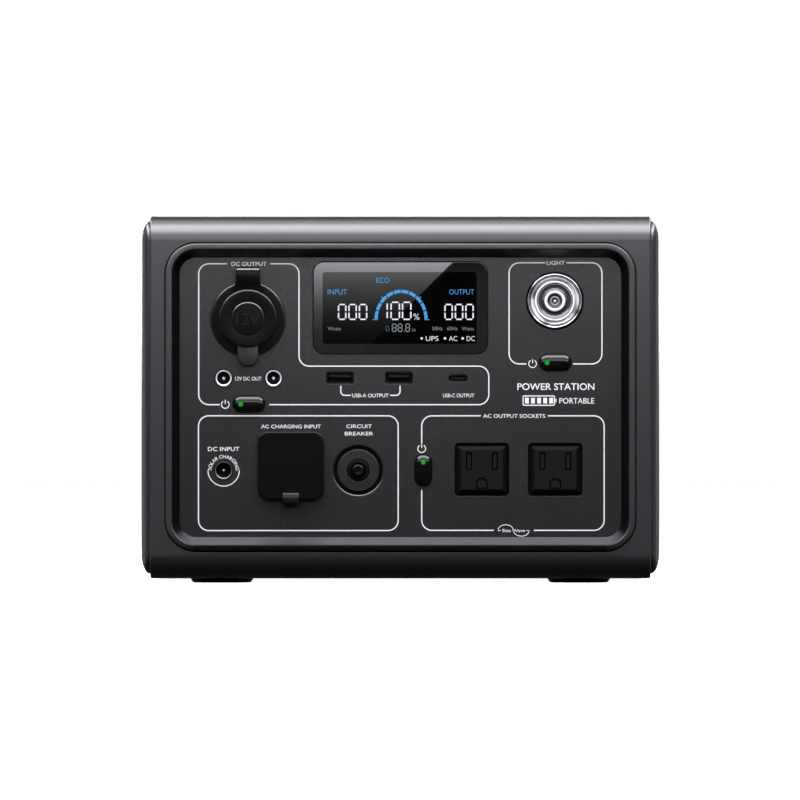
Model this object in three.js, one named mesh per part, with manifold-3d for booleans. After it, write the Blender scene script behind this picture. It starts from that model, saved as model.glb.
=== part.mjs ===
// A portable power station: a box-shaped battery and inverter with a carrying handle that folds flush
// into its top. Millimetres, +Z up. The front faces -Y, and the origin is the middle of the footprint,
// on the surface that the rubber feet stand on.

import * as THREE from "three";
import { mergeVertices } from "three/addons/utils/BufferGeometryUtils.js";
import Module from "manifold-3d";

const wasm = await Module();
wasm.setup();

// ---------------------------------------------------------------- driving dimensions

const GAP = 0.3; // running gap between neighbouring pieces

const SLEEVE = {
  width: 247,
  front: -89,
  back: 90,
  bottom: 2.2,
  top: 181,
  wall: 3,
  corner: 12, // radius of the long edges
  rim: 1.6, // rounding of the two open ends
};
const SLEEVE_DEPTH = SLEEVE.back - SLEEVE.front;
const SLEEVE_HEIGHT = SLEEVE.top - SLEEVE.bottom;
const MID_DEPTH = (SLEEVE.front + SLEEVE.back) / 2;
const MID_HEIGHT = (SLEEVE.bottom + SLEEVE.top) / 2;

// A side cover stands in from the sleeve's outside, bulges past its end and plugs into it by a rim.
const COVER = { inset: 2.4, bulge: 4.3, edge: 0.6, round: 8.5, thick: 2.5, rim: 4.2 };
const VENT = { width: 3.4, height: 34, pitch: 8.6, columns: 12, rows: 2, rowPitch: 42, centre: [8, 24] };

const PANEL = { face: -83, width: 226, height: 146, radius: 10, thick: 2.5 };
const BEZEL = { width: 231.8, height: 152, radius: 15.2, crest: 7, lip: 2.7, slope: 4.2, flange: 2.6 };

const FOOT = { radius: 15.6, height: 3.4, x: 88.3, y: 62 };
const SCREW = { shank: 1.6, head: 3.6, headFrom: 0.6, headTo: 1.5, to: 8.5 };

// The handle is a U: two arms run back from the pivot to the grip bar.
const HANDLE = {
  halfWidth: 78,
  arm: 12,
  length: 70,
  bar: 21,
  thick: 10,
  edge: 0.8,
  top: 180.7,
  hub: 5,
  pin: 2,
  pinHalf: 11, // half the length of a pin
  relief: [50, 3], // the fingers' relief under the bar: half its width, and its depth
};
const HANDLE_PIVOT_Z = HANDLE.top - HANDLE.hub - 1;
const WELL = {
  halfWidth: 80.5,
  front: -9,
  back: 73.5,
  island: 63.5, // half the width of the island between the arms
  islandBack: 29,
  radius: 6,
  floor: 164,
  wall: 1.2,
  bottom: 3,
};

// Places on the front panel: [right, up] from its centre.
const AT = {
  display: [0, 44.1],
  lamp: [76.2, 47.5],
  carSocket: [-75.2, 38.8],
  barrelLeft: [-87.2, 9.4],
  barrelRight: [-62.6, 9.4],
  dcButton: [-74.7, -3.4],
  usbLeft: [-29.8, 9.7],
  usbRight: [-0.7, 9.7],
  usbC: [28.5, 9.5],
  lightButton: [76.4, 17.1],
  acButton: [11.3, -36.1],
  outletLeft: [40.2, -35.6],
  outletRight: [76.4, -35.6],
  solar: [-87.2, -36],
  inlet: [-54, -33.6],
  breaker: [-20.8, -36],
};
const BOARD_FRONT = -12.3; // front of the control board, behind the panel's face

const CELL = { radius: 16.2, length: 70, pitch: 33.4, perRow: 7, y: 43, rows: [25.5, 59] };

// ---------------------------------------------------------------- materials

const material = (color, roughness, metalness = 0, extra = {}) =>
  new THREE.MeshStandardMaterial({ color, roughness, metalness, ...extra });
const MATERIAL = {
  shell: material(0x55555a, 0.42),
  panel: material(0x37373a, 0.55),
  cover: material(0x47474a, 0.45),
  gloss: material(0x0b0b0c, 0.12),
  blackPlastic: material(0x161617, 0.5),
  rubber: material(0x131313, 0.75),
  glass: material(0x101114, 0.05, 0, { transparent: true, opacity: 0.6 }),
  clear: material(0xffffff, 0.05, 0, { transparent: true, opacity: 0.35 }),
  chrome: material(0xdddddd, 0.12, 1),
  steel: material(0x9a9ca0, 0.35, 1),
  brass: material(0xb8954a, 0.35, 1),
  board: material(0x1d4a2c, 0.6),
  green: material(0x1cc032, 0.3),
  cell: material(0x1e4f86, 0.5),
  aluminium: material(0xb9bcc0, 0.4, 1),
  ferrite: material(0x3a3a3c, 0.8),
};

// ---------------------------------------------------------------- solids

const WELD = 1e-4;

function toSolid(geometry) {
  const bare = new THREE.BufferGeometry().setAttribute("position", geometry.getAttribute("position"));
  const merged = mergeVertices(bare.setIndex(geometry.getIndex()), WELD);
  return new wasm.Manifold(
    new wasm.Mesh({
      numProp: 3,
      vertProperties: merged.attributes.position.array,
      triVerts: new Uint32Array(merged.index.array),
    }),
  );
}

function toGeometry(solid) {
  const mesh = solid.getMesh();
  return new THREE.BufferGeometry()
    .setAttribute("position", new THREE.BufferAttribute(mesh.vertProperties, 3))
    .setIndex(new THREE.BufferAttribute(mesh.triVerts, 1));
}

const cut = (body, ...tools) =>
  toGeometry(tools.reduce((left, tool) => left.subtract(toSolid(tool)), toSolid(body)));

const join = (...bodies) => toGeometry(bodies.map(toSolid).reduce((all, next) => all.add(next)));

// Corner arcs of a rounded rectangle, anticlockwise, with the same number of points whatever its size.
function outline([width, height], radius, [x, y], steps) {
  const corners = [
    [width / 2 - radius, height / 2 - radius, 0],
    [radius - width / 2, height / 2 - radius, 1],
    [radius - width / 2, radius - height / 2, 2],
    [width / 2 - radius, radius - height / 2, 3],
  ];
  return corners.flatMap(([cx, cy, quarter]) =>
    Array.from({ length: steps + 1 }, (_, i) => {
      const angle = ((quarter + i / steps) * Math.PI) / 2;
      return [x + cx + radius * Math.cos(angle), y + cy + radius * Math.sin(angle)];
    }),
  );
}

const LEAST_RADIUS = 0.05;

// A rounded rectangle stacked along +Z: each level is [z, inset], and the solid runs through them all.
function pad(size, radius, levels, { at = [0, 0], steps = 2 } = {}) {
  const rings = levels.map(([z, inset]) => {
    const inner = size.map((side) => side - 2 * inset);
    return outline(inner, Math.max(radius - inset, LEAST_RADIUS), at, steps).map(([x, y]) => [x, y, z]);
  });
  const count = rings[0].length;
  const index = [];
  for (let level = 0; level + 1 < rings.length; level++) {
    for (let i = 0; i < count; i++) {
      const a = level * count + i;
      const b = level * count + ((i + 1) % count);
      index.push(a, b, b + count, a, b + count, a + count);
    }
  }
  const top = (rings.length - 1) * count;
  for (let i = 1; i + 1 < count; i++) {
    index.push(0, i + 1, i, top, top + i, top + i + 1);
  }
  return new THREE.BufferGeometry()
    .setAttribute("position", new THREE.Float32BufferAttribute(rings.flat(2), 3))
    .setIndex(index);
}

// A straight block of rounded-rectangle section between two heights.
function block(size, radius, from, to, options) {
  const levels = [
    [from, 0],
    [to, 0],
  ];
  return pad(size, radius, levels, options);
}

// A body turned about the Z axis. The profile is [radius, z] points, with the material on its left.
function turned(profile, segments = 14) {
  const points = profile.map(([radius, z]) => new THREE.Vector2(radius, z));
  const closed = profile[0][0] > 0 || profile.at(-1)[0] > 0;
  const lathe = new THREE.LatheGeometry(closed ? [...points, points[0]] : points, segments);
  return lathe.rotateX(Math.PI / 2);
}

function rod(radius, from, to, segments = 14) {
  const profile = [
    [0, from],
    [radius, from],
    [radius, to],
    [0, to],
  ];
  return turned(profile, segments);
}

const box = (x0, x1, y0, y1, z0, z1) =>
  new THREE.BoxGeometry(x1 - x0, y1 - y0, z1 - z0).translate((x0 + x1) / 2, (y0 + y1) / 2, (z0 + z1) / 2);

const moved = (geometry, x, y, z = 0) => geometry.translate(x, y, z);

// ---------------------------------------------------------------- frames

// In the front frame x is right, y is up and z comes out of the panel's face. In a side frame z comes
// out of the sleeve's open end, and y is up.
const basis = (x, y, z, [px, py, pz]) =>
  new THREE.Matrix4()
    .makeBasis(new THREE.Vector3(...x), new THREE.Vector3(...y), new THREE.Vector3(...z))
    .setPosition(px, py, pz);
const FRONT = basis([1, 0, 0], [0, 0, 1], [0, -1, 0], [0, PANEL.face, MID_HEIGHT]);
const RIGHT = basis([0, 1, 0], [0, 0, 1], [1, 0, 0], [SLEEVE.width / 2, MID_DEPTH, MID_HEIGHT]);
const LEFT = basis([0, -1, 0], [0, 0, 1], [-1, 0, 0], [-SLEEVE.width / 2, MID_DEPTH, MID_HEIGHT]);
const ALONG_X = basis([0, 1, 0], [0, 0, 1], [1, 0, 0], [0, 0, 0]);
const ALONG_Y = basis([1, 0, 0], [0, 0, -1], [0, 1, 0], [0, 0, 0]);

const station = new THREE.Group();
const groupIn = (frame) => {
  const group = new THREE.Group();
  group.applyMatrix4(frame);
  station.add(group);
  return group;
};
const front = groupIn(FRONT);
const rightSide = groupIn(RIGHT);
const leftSide = groupIn(LEFT);

function piece(name, geometry, finish, group = station, [x, y, z = 0] = [0, 0], turn = 0) {
  const mesh = new THREE.Mesh(geometry, finish);
  mesh.name = name;
  mesh.position.set(x, y, z);
  mesh.rotation.z = turn;
  group.add(mesh);
}

// ---------------------------------------------------------------- casing

// The U-shaped opening that the folded handle lies in; the island between its arms stays.
function handleOpening(shrink, from, to) {
  const length = WELL.back - WELL.front;
  const middle = (WELL.back + WELL.front) / 2;
  const around = [2 * (WELL.halfWidth - shrink), length - 2 * shrink];
  const islandLength = WELL.islandBack - WELL.front + WELL.radius;
  const island = [2 * (WELL.island + shrink), islandLength + 2 * shrink];
  return cut(
    block(around, WELL.radius - shrink, from, to, { at: [0, middle] }),
    block(island, WELL.radius / 2, from - 1, to + 1, { at: [0, WELL.islandBack - islandLength / 2] }),
  );
}

const SIDES = [
  { name: "left", sign: -1 },
  { name: "right", sign: 1 },
];

const feetPlaces = [
  ["front_left", -1, -1],
  ["front_right", 1, -1],
  ["rear_left", -1, 1],
  ["rear_right", 1, 1],
].map(([name, sideways, deep]) => [name, sideways * FOOT.x, deep * FOOT.y]);

const FOOT_POCKET = { radius: FOOT.radius + GAP + 0.2, top: FOOT.height + GAP };

function addSleeve() {
  const half = SLEEVE.width / 2;
  const { rim, wall } = SLEEVE;
  const end = [
    [0, 0],
    [0.7 * rim, 0.3 * rim],
    [rim, rim],
  ];
  const levels = [
    ...end.toReversed().map(([out, inset]) => [rim - half - out, inset]),
    ...end.map(([out, inset]) => [half - rim + out, inset]),
  ];
  const at = [MID_DEPTH, MID_HEIGHT];
  const outside = pad([SLEEVE_DEPTH, SLEEVE_HEIGHT], SLEEVE.corner, levels, { at, steps: 4 });
  const insideSize = [SLEEVE_DEPTH - 2 * wall, SLEEVE_HEIGHT - 2 * wall];
  const inside = block(insideSize, SLEEVE.corner - wall, -half - 1, half + 1, { at, steps: 4 });
  const windowSize = [BEZEL.width + 2 * GAP, BEZEL.height + 2 * GAP];
  const window = block(windowSize, BEZEL.radius + GAP, 0, 20, { steps: 4 }).applyMatrix4(FRONT);
  const tube = cut(outside.applyMatrix4(ALONG_X), inside.applyMatrix4(ALONG_X), window);
  const footHoles = feetPlaces.flatMap(([, x, y]) => [
    moved(rod(FOOT_POCKET.radius, 0, FOOT_POCKET.top, 20), x, y),
    moved(rod(SCREW.shank + GAP, 0, SCREW.to, 10), x, y),
  ]);
  const wellOpening = handleOpening(0, SLEEVE.top - 2 * wall, SLEEVE.top + 1);
  piece("housing_sleeve", cut(tube, wellOpening, ...footHoles), MATERIAL.shell);
}

function ventSlots(mirror) {
  const slots = [];
  for (let row = 0; row < VENT.rows; row++) {
    for (let column = 0; column < VENT.columns; column++) {
      const x = VENT.centre[0] * mirror + (column - (VENT.columns - 1) / 2) * VENT.pitch;
      const y = VENT.centre[1] + (row - (VENT.rows - 1) / 2) * VENT.rowPitch;
      const [halfWidth, halfHeight] = [VENT.width / 2, VENT.height / 2];
      const slot = box(-halfWidth, halfWidth, -halfHeight, halfHeight, 0, 2 * COVER.bulge);
      slots.push(moved(slot, x, y));
    }
  }
  return slots;
}

// A pillow-edged dish with a rim that plugs into the sleeve's open end.
function sideCover(mirror) {
  const size = [SLEEVE_DEPTH - 2 * COVER.inset, SLEEVE_HEIGHT - 2 * COVER.inset];
  const arc = [0, 1, 2, 3, 4].map((i) => (i * Math.PI) / 8);
  const base = GAP + COVER.edge;
  const pillow = arc.map((angle) => [
    base + (COVER.bulge - base) * Math.sin(angle),
    COVER.round * (1 - Math.cos(angle)),
  ]);
  const skin = pad(size, SLEEVE.corner - COVER.inset, [[GAP, COVER.edge], ...pillow], { steps: 4 });
  const within = SLEEVE.wall + GAP;
  const rimSize = [SLEEVE_DEPTH - 2 * within, SLEEVE_HEIGHT - 2 * within];
  const rim = block(rimSize, SLEEVE.corner - within, -COVER.rim, base);
  const hollowSize = rimSize.map((side) => side - 2 * COVER.thick);
  const hollowRadius = SLEEVE.corner - within - COVER.thick;
  const hollow = block(hollowSize, hollowRadius, -2 * COVER.rim, COVER.bulge - COVER.thick);
  return cut(join(skin, rim), hollow, ...ventSlots(mirror));
}

// Each foot is a turned rubber pad with a recess for the screw that holds it.
function addFeet() {
  const recess = SCREW.head + 2 * GAP;
  const foot = [
    [recess, 0],
    [FOOT.radius - 1.4, 0],
    [FOOT.radius - 0.4, 0.4],
    [FOOT.radius, 1.2],
    [FOOT.radius, FOOT.height],
    [SCREW.shank + GAP, FOOT.height],
    [SCREW.shank + GAP, SCREW.headTo + GAP],
    [recess, SCREW.headTo + GAP],
  ];
  const screw = [
    [0, SCREW.headFrom],
    [SCREW.head, SCREW.headFrom],
    [SCREW.head, SCREW.headTo],
    [SCREW.shank, SCREW.headTo],
    [SCREW.shank, SCREW.to],
    [0, SCREW.to],
  ];
  for (const [name, x, y] of feetPlaces) {
    piece(`foot_${name}`, turned(foot, 20), MATERIAL.rubber, station, [x, y]);
    piece(`foot_screw_${name}`, turned(screw, 10), MATERIAL.steel, station, [x, y]);
  }
}

const acrossPivot = (geometry) => geometry.applyMatrix4(ALONG_X).translate(0, 0, HANDLE_PIVOT_Z);

function addHandle() {
  const { halfWidth, arm, length, bar, thick, edge, top, hub, pin, pinHalf, relief } = HANDLE;
  const below = top - thick;
  const round = [
    [below, edge],
    [below + edge, 0],
    [top - edge, 0],
    [top, edge],
  ];
  const outer = pad([2 * halfWidth, length + thick / 2], 5, round, { at: [0, length / 2 - thick / 4] });
  const gapLength = length - bar + thick;
  const inner = block([2 * (halfWidth - arm), gapLength], 4, below - 1, top + 1, {
    at: [0, length - bar - gapLength / 2],
  });
  const behindHub = box(-halfWidth - 1, halfWidth + 1, -thick, 0, below - 1, top + 1);
  const [reliefHalf, reliefDepth] = relief;
  const reliefTop = below + reliefDepth;
  const underBar = box(-reliefHalf, reliefHalf, length - bar - 1, length + 1, below - 1, reliefTop);
  const hubs = [halfWidth - arm, -halfWidth].map((from) => acrossPivot(rod(hub, from, from + arm, 20)));
  const pinHole = acrossPivot(rod(pin + GAP, -halfWidth - 1, halfWidth + 1));
  const grip = cut(join(cut(outer, inner, behindHub, underBar), ...hubs), pinHole);
  piece("handle_grip", grip, MATERIAL.shell);

  for (const side of SIDES) {
    const middle = side.sign * (halfWidth - arm / 2 + 0.75);
    const turnedPin = rod(pin, -pinHalf, pinHalf).applyMatrix4(ALONG_X);
    piece(`handle_pin_${side.name}`, turnedPin, MATERIAL.steel, station, [middle, 0, HANDLE_PIVOT_Z]);
  }
}

// The tray hangs under the sleeve's opening, fills it with a thin wall and holds the pins.
function addTray() {
  const top = SLEEVE.top - SLEEVE.wall - GAP;
  const flange = [5, 3.5];
  const size = [2 * (WELL.halfWidth + flange[0]), WELL.back - WELL.front + 2 * flange[1]];
  const at = [0, (WELL.back + WELL.front) / 2];
  const tray = join(
    block(size, WELL.radius + 2, WELL.floor - WELL.bottom, top, { at }),
    handleOpening(GAP, top - 1, SLEEVE.top - GAP),
  );
  const islandHalf = WELL.island - 5.5;
  const underIsland = box(
    -islandHalf,
    islandHalf,
    WELL.front - 1,
    WELL.islandBack - 5,
    WELL.floor - WELL.bottom - 1,
    top - 2,
  );
  const seatHalf = HANDLE.halfWidth + 6.5;
  const pinSeat = acrossPivot(rod(HANDLE.pin + GAP, -seatHalf, seatHalf));
  const channel = handleOpening(GAP + WELL.wall, WELL.floor, SLEEVE.top + 1);
  piece("handle_tray", cut(tray, channel, underIsland, pinSeat), MATERIAL.blackPlastic);
}

// ---------------------------------------------------------------- front frame and panel

function addBezel() {
  const size = [BEZEL.width, BEZEL.height];
  const { crest, lip, slope, flange, radius } = BEZEL;
  const outsideLevels = [
    [GAP, 0],
    [crest - 1, 0],
    [crest - 0.4, 0.6],
    [crest, lip - 0.4],
  ];
  const outside = pad(size, radius, outsideLevels, { steps: 4 });
  const collarSize = size.map((side) => side + 2 * flange);
  const collarFront = PANEL.face - SLEEVE.front - SLEEVE.wall - GAP;
  const collar = block(collarSize, radius + 2, GAP, collarFront, { steps: 4 });
  const openingSize = size.map((side) => side - 2 * (lip + slope));
  const openingLevels = [
    [0, 0],
    [GAP, 0],
    [crest, -slope],
    [crest + 1, -slope],
  ];
  const opening = pad(openingSize, radius - lip - slope + 0.9, openingLevels, { steps: 4 });
  piece("front_bezel", cut(join(outside, collar), opening), MATERIAL.shell, front);
}

const DISPLAY = { size: [86.1, 45.4], radius: 5.4, steps: 4 };
const OUTLET = { size: [26.4, 25.7], radius: 1.6, depth: 18 };
// Two flat blades 12.7 apart and a D-shaped earth pin, measured from the outlet's middle.
const BLADE = { size: [2.8, 8.6], x: 6.35, y: 4.1, depth: 13 };
const EARTH = { width: 5.8, middle: -6.9, bottom: -9.6, radius: 2.9 };
const INLET = { body: [27.8, 21.8], flange: [29.6, 30.4], cover: [32.5, 33.4] };
const BUTTON = { size: [15.8, 8.2], radius: 4.05, lamp: -4.1, travel: 0.8 };
const STEM_END = -7.7;
const PIPE_RADIUS = 1.15;
const USB_A = { size: [13, 5.6], radius: 0.6 };
const USB_C = { size: [9.2, 3.4], radius: 1.65 };
const LAMP_RADIUS = 14;
const CAR_TUBE_RADIUS = 14.3;
// The cap's strap from the socket's middle up to where it bends: half its width, its two faces, its end
// and the axis that it bends about.
const CAP_STRAP = { half: 6, from: 2.6, back: 4.6, to: 25.4, hinge: [24.4, 2.4] };
const BARREL = { radius: 4.2, bore: 2.9, pin: 1.05, tip: -2.2 };
const SOLAR = { radius: 4.4, bore: 3.7, pin: 0.5, tip: -1.6 };
const BREAKER = { ring: 12.4, disc: 10.3, groove: 1.5, bush: 5.3, bore: 3.4, button: 3, body: [14, 30] };

// A hole through a plate for something of this size, with a gap all round.
const holeFor = ({ size, radius, steps }, at, space = GAP, turn = false) => {
  const grown = (turn ? size.toReversed() : size).map((side) => side + 2 * space);
  return block(grown, radius + space, -40, 40, { at, steps });
};
const roundHole = (radius, [x, y]) => moved(rod(radius, -40, 40, 20), x, y);

function addPanel() {
  const plate = block([PANEL.width, PANEL.height], PANEL.radius, -PANEL.thick, 0);
  const grooveProfile = [
    [BREAKER.disc, -BREAKER.groove],
    [BREAKER.ring, -BREAKER.groove],
    [BREAKER.ring, 1],
    [BREAKER.disc, 1],
  ];
  const holes = [
    holeFor(DISPLAY, AT.display),
    holeFor(USB_A, AT.usbLeft),
    holeFor(USB_A, AT.usbRight),
    holeFor(USB_C, AT.usbC),
    holeFor(OUTLET, AT.outletLeft),
    holeFor(OUTLET, AT.outletRight),
    holeFor({ size: INLET.body, radius: 2 }, AT.inlet),
    holeFor(BUTTON, AT.dcButton),
    holeFor(BUTTON, AT.lightButton),
    holeFor(BUTTON, AT.acButton, GAP, true),
    roundHole(LAMP_RADIUS + GAP, AT.lamp),
    roundHole(CAR_TUBE_RADIUS + GAP, AT.carSocket),
    roundHole(BARREL.radius + GAP, AT.barrelLeft),
    roundHole(BARREL.radius + GAP, AT.barrelRight),
    roundHole(SOLAR.radius + GAP, AT.solar),
    roundHole(BREAKER.bush + GAP, AT.breaker),
    moved(turned(grooveProfile, 20), ...AT.breaker),
  ];
  piece("front_panel", cut(plate, ...holes), MATERIAL.panel, front);
}

function addDisplay() {
  const { size, radius, steps } = DISPLAY;
  const glassLevels = [
    [-1.6, 0],
    [0.2, 0],
    [0.5, 0.3],
  ];
  const moduleSize = size.map((side) => side + 6);
  const module = block(moduleSize, 1, -8, -PANEL.thick - GAP);
  piece("display_window", pad(size, radius, glassLevels, { steps }), MATERIAL.glass, front, AT.display);
  piece("display_module", module, MATERIAL.blackPlastic, front, AT.display);
}

function addLamp() {
  const cup = [
    [12.6, 1.2],
    [12.6, -1],
    [11.4, -1],
    [4, -13.5],
    [4, -15.5],
    [6, -15.5],
    [LAMP_RADIUS, -3],
    [LAMP_RADIUS, 0.8],
    [13.6, 1.2],
  ];
  const lens = [
    [0, -10],
    [2.2, -10],
    [2.2, -12.8],
    [3.4, -12.8],
    [10.6, -0.7],
    [12.3, -0.7],
    [12.3, 0.9],
    [2.4, 0.9],
    [1.8, 0.4],
    [0, 0.4],
  ];
  const emitter = [
    [0, -17.4],
    [8, -17.4],
    [8, -15.8],
    [1.8, -15.8],
    [1.8, -12.6],
    [1.5, -11.6],
    [0, -11],
  ];
  piece("lamp_reflector", turned(cup, 20), MATERIAL.chrome, front, AT.lamp);
  piece("lamp_lens", turned(lens, 20), MATERIAL.clear, front, AT.lamp);
  piece("lamp_led_board", turned(emitter, 12), MATERIAL.board, front, AT.lamp);
}

// A pill-shaped key with a light pipe near one end, and the tact switch that its stem presses.
function addButton(name, place, turn) {
  const { size, radius, lamp } = BUTTON;
  const back = -PANEL.thick - GAP;
  const dome = [
    [back, 0],
    [0.6, 0],
    [1.3, 0.3],
    [1.8, 0.9],
    [2.1, 2],
  ];
  const flange = block([18, 10.4], 5, back - 1.4, back);
  const stem = rod(1.5, STEM_END, back - 1, 12);
  const pipeHole = moved(rod(PIPE_RADIUS + GAP, -10, 10, 12), lamp, 0);
  const cap = cut(join(pad(size, radius, dome), flange, stem), pipeHole);
  const pipe = moved(rod(PIPE_RADIUS, -4, 1.9, 12), lamp, 0);
  const tact = block([6, 6], 0.5, BOARD_FRONT + GAP, STEM_END - BUTTON.travel - 0.1);
  piece(`${name}_button`, cap, MATERIAL.gloss, front, place, turn);
  piece(`${name}_button_light_pipe`, pipe, MATERIAL.green, front, place, turn);
  piece(`${name}_switch`, tact, MATERIAL.steel, front, place);
}

function addCarSocket() {
  const barrel = [
    [10.6, 2],
    [10.6, -38.5],
    [2.1, -38.5],
    [2.1, -41],
    [CAR_TUBE_RADIUS, -41],
    [CAR_TUBE_RADIUS, GAP],
    [18.6, GAP],
    [18.6, 1.4],
    [18, 2],
  ];
  const contact = [
    [0, -47],
    [1.7, -47],
    [1.7, -38.2],
    [4, -38.2],
    [4, -33.5],
    [1.5, -31],
    [0, -31],
  ];
  const cap = [
    [0, -1],
    [9.4, -1],
    [9.8, 2.3],
    [14.4, 2.3],
    [14.4, 4.6],
    [13.8, 5.2],
    [8.1, 5.2],
    [7.7, 5.8],
    [0, 5.8],
  ];
  piece("car_socket_barrel", turned(barrel, 24), MATERIAL.blackPlastic, front, AT.carSocket);
  piece("car_socket_contact", turned(contact, 10), MATERIAL.brass, front, AT.carSocket);
  const { half, from, to, back, hinge } = CAP_STRAP;
  const tab = block([10.4, 14], 5.1, 2.3, 4, { at: [0, -16.3] });
  const strap = box(-half, half, 12.2, to, from, back);
  const strapEnd = box(-half, half, to - 2, to, hinge[1] - 1, back);
  const knuckle = rod(1, -half, half, 12).applyMatrix4(ALONG_X).translate(0, ...hinge);
  const capBody = join(turned(cap, 24), tab, strap, strapEnd, knuckle);
  piece("car_socket_cap", capBody, MATERIAL.rubber, front, AT.carSocket);
}

// A coaxial jack: a tube with a floor, and the contact pin standing in the middle.
function jack({ radius, bore, pin, tip }) {
  const back = BOARD_FRONT + GAP;
  return turned([
    [0, back],
    [radius, back],
    [radius, 0.8],
    [bore, 0.8],
    [bore, -9],
    [pin, -9],
    [pin, tip],
    [0, tip],
  ]);
}

function usbPort({ size, radius }, wall, depth, tongue, tongueUp) {
  const mouth = size.map((side) => side - 2 * wall);
  const shell = block(size, radius, -depth, 0.2);
  const cavity = block(mouth, radius - wall / 2, 1.5 - depth, 1);
  return join(cut(shell, cavity), block(tongue, 0.1, 1 - depth, -0.8, { at: [0, tongueUp] }));
}

function addSockets() {
  piece("barrel_jack_left", jack(BARREL), MATERIAL.blackPlastic, front, AT.barrelLeft);
  piece("barrel_jack_right", jack(BARREL), MATERIAL.blackPlastic, front, AT.barrelRight);
  piece("solar_input_jack", jack(SOLAR), MATERIAL.blackPlastic, front, AT.solar);
  const typeA = usbPort(USB_A, 0.3, 12, [11, 1.8], 1);
  piece("type_a_port_left", typeA, MATERIAL.steel, front, AT.usbLeft);
  piece("type_a_port_right", typeA.clone(), MATERIAL.steel, front, AT.usbRight);
  piece("type_c_port", usbPort(USB_C, 0.35, 10, [6.7, 0.7], 0), MATERIAL.steel, front, AT.usbC);
}

function addInlet() {
  const body = block(INLET.body, 2, -19, GAP);
  const flange = block(INLET.flange, 4, GAP, 1.5);
  const cavity = block([24.4, 16.8], 2.5, -15, 2);
  const bladePlaces = [
    [-7, -2],
    [0, 2],
    [7, -2],
  ];
  const blades = bladePlaces.map((at) => block([2, 4], 0.2, -16, -3, { at, steps: 1 }));
  const inlet = join(cut(join(body, flange), cavity), ...blades);
  piece("ac_inlet", inlet, MATERIAL.blackPlastic, front, AT.inlet);

  const coverLevels = [
    [1.5 + GAP, 0],
    [3.6, 0],
    [4.2, 0.6],
  ];
  const tabLevels = [
    [2.2, 0],
    [4.6, 0],
    [5.2, 0.6],
  ];
  const cover = pad(INLET.cover, 5.1, coverLevels, { steps: 4 });
  const tab = pad([8.4, 6.6], 1.2, tabLevels, { at: [0, -INLET.cover[1] / 2 - 0.1] });
  piece("ac_inlet_cover", join(cover, tab), MATERIAL.rubber, front, AT.inlet);
}

function addBreaker() {
  const { bush, bore, body, button } = BREAKER;
  const bushing = turned([
    [bore, 0.9],
    [bore, -9],
    [bush, -9],
    [bush, 0.6],
    [bush - 0.3, 0.9],
  ]);
  const can = cut(block(body, 1, -28, -PANEL.thick - GAP), rod(bush - 0.1, -8, 0, 24));
  const floor = rod(bush, -9, -8, 24);
  piece("breaker_body", join(can, bushing, floor), MATERIAL.blackPlastic, front, AT.breaker);
  const plunger = [
    [0, -7.4],
    [button, -7.4],
    [button, 2.2],
    [button - 0.6, 2.8],
    [0, 2.8],
  ];
  piece("breaker_button", turned(plunger, 20), MATERIAL.blackPlastic, front, AT.breaker);
}

function addOutlets() {
  const levels = [
    [-OUTLET.depth, 0],
    [0.4, 0],
    [0.5, 1.3],
    [1.7, 3.1],
  ];
  const blade = (x) => block(BLADE.size, 0.2, -BLADE.depth, 4, { at: [x, BLADE.y], steps: 1 });
  const earthLength = EARTH.middle - EARTH.bottom + 0.15;
  const earthBelow = block([EARTH.width, earthLength], 0.3, -BLADE.depth, 4, {
    at: [0, EARTH.bottom + earthLength / 2],
  });
  const earthDome = moved(rod(EARTH.radius, -BLADE.depth, 4), 0, EARTH.middle);
  const body = pad(OUTLET.size, OUTLET.radius, levels);
  const outlet = cut(body, blade(-BLADE.x), blade(BLADE.x), earthBelow, earthDome);
  piece("ac_outlet_left", outlet, MATERIAL.blackPlastic, front, AT.outletLeft);
  piece("ac_outlet_right", outlet.clone(), MATERIAL.blackPlastic, front, AT.outletRight);
}

// ---------------------------------------------------------------- inside

const BOARD_THICK = 1.6;

function addControlBoard() {
  const board = block([214, 134], 3, BOARD_FRONT - BOARD_THICK, BOARD_FRONT);
  const wide = 0.8;
  const holes = [
    roundHole(CAR_TUBE_RADIUS + wide, AT.carSocket),
    roundHole(LAMP_RADIUS, AT.lamp),
    holeFor(OUTLET, AT.outletLeft, wide),
    holeFor(OUTLET, AT.outletRight, wide),
    holeFor({ size: INLET.body, radius: 2 }, AT.inlet, wide),
    holeFor({ size: BREAKER.body, radius: 1 }, AT.breaker, wide),
  ];
  piece("control_board", cut(board, ...holes), MATERIAL.board, front);
}

// Round cells lying front to back, with the nickel strips that are welded to their ends.
function addBattery() {
  const { radius, length, pitch, perRow, y, rows } = CELL;
  const places = Array.from({ length: perRow }, (_, i) => (i - (perRow - 1) / 2) * pitch);
  const alongY = (r, from, to) => rod(r, from, to, 12).applyMatrix4(ALONG_Y);
  const halfStrip = places.at(-1) + 8;
  rows.forEach((z, row) => {
    const strips = [-length / 2, length / 2].map((end) => {
      return box(-halfStrip, halfStrip, end - 0.6, end + 0.6, -5, 5);
    });
    const cells = places.map((x) => alongY(radius, -length / 2, length / 2).translate(x, 0, 0));
    const name = row === 0 ? "cell_row_lower" : "cell_row_upper";
    piece(name, join(...cells, ...strips), MATERIAL.cell, station, [0, y, z]);
  });

  const seats = rows.flatMap((z) => {
    return places.map((x) => alongY(radius + GAP, 0, SLEEVE.back).translate(x, 0, z));
  });
  const cradle = { front: 10, rear: 69 };
  for (const [name, from] of Object.entries(cradle)) {
    const plate = box(-118, 118, from, from + 7, 7, 77.5);
    piece(`battery_cradle_${name}`, cut(plate, ...seats), MATERIAL.blackPlastic);
  }
  piece("battery_monitor_board", box(-90, 90, 0, BOARD_THICK, 12, 72), MATERIAL.board);
}

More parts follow.
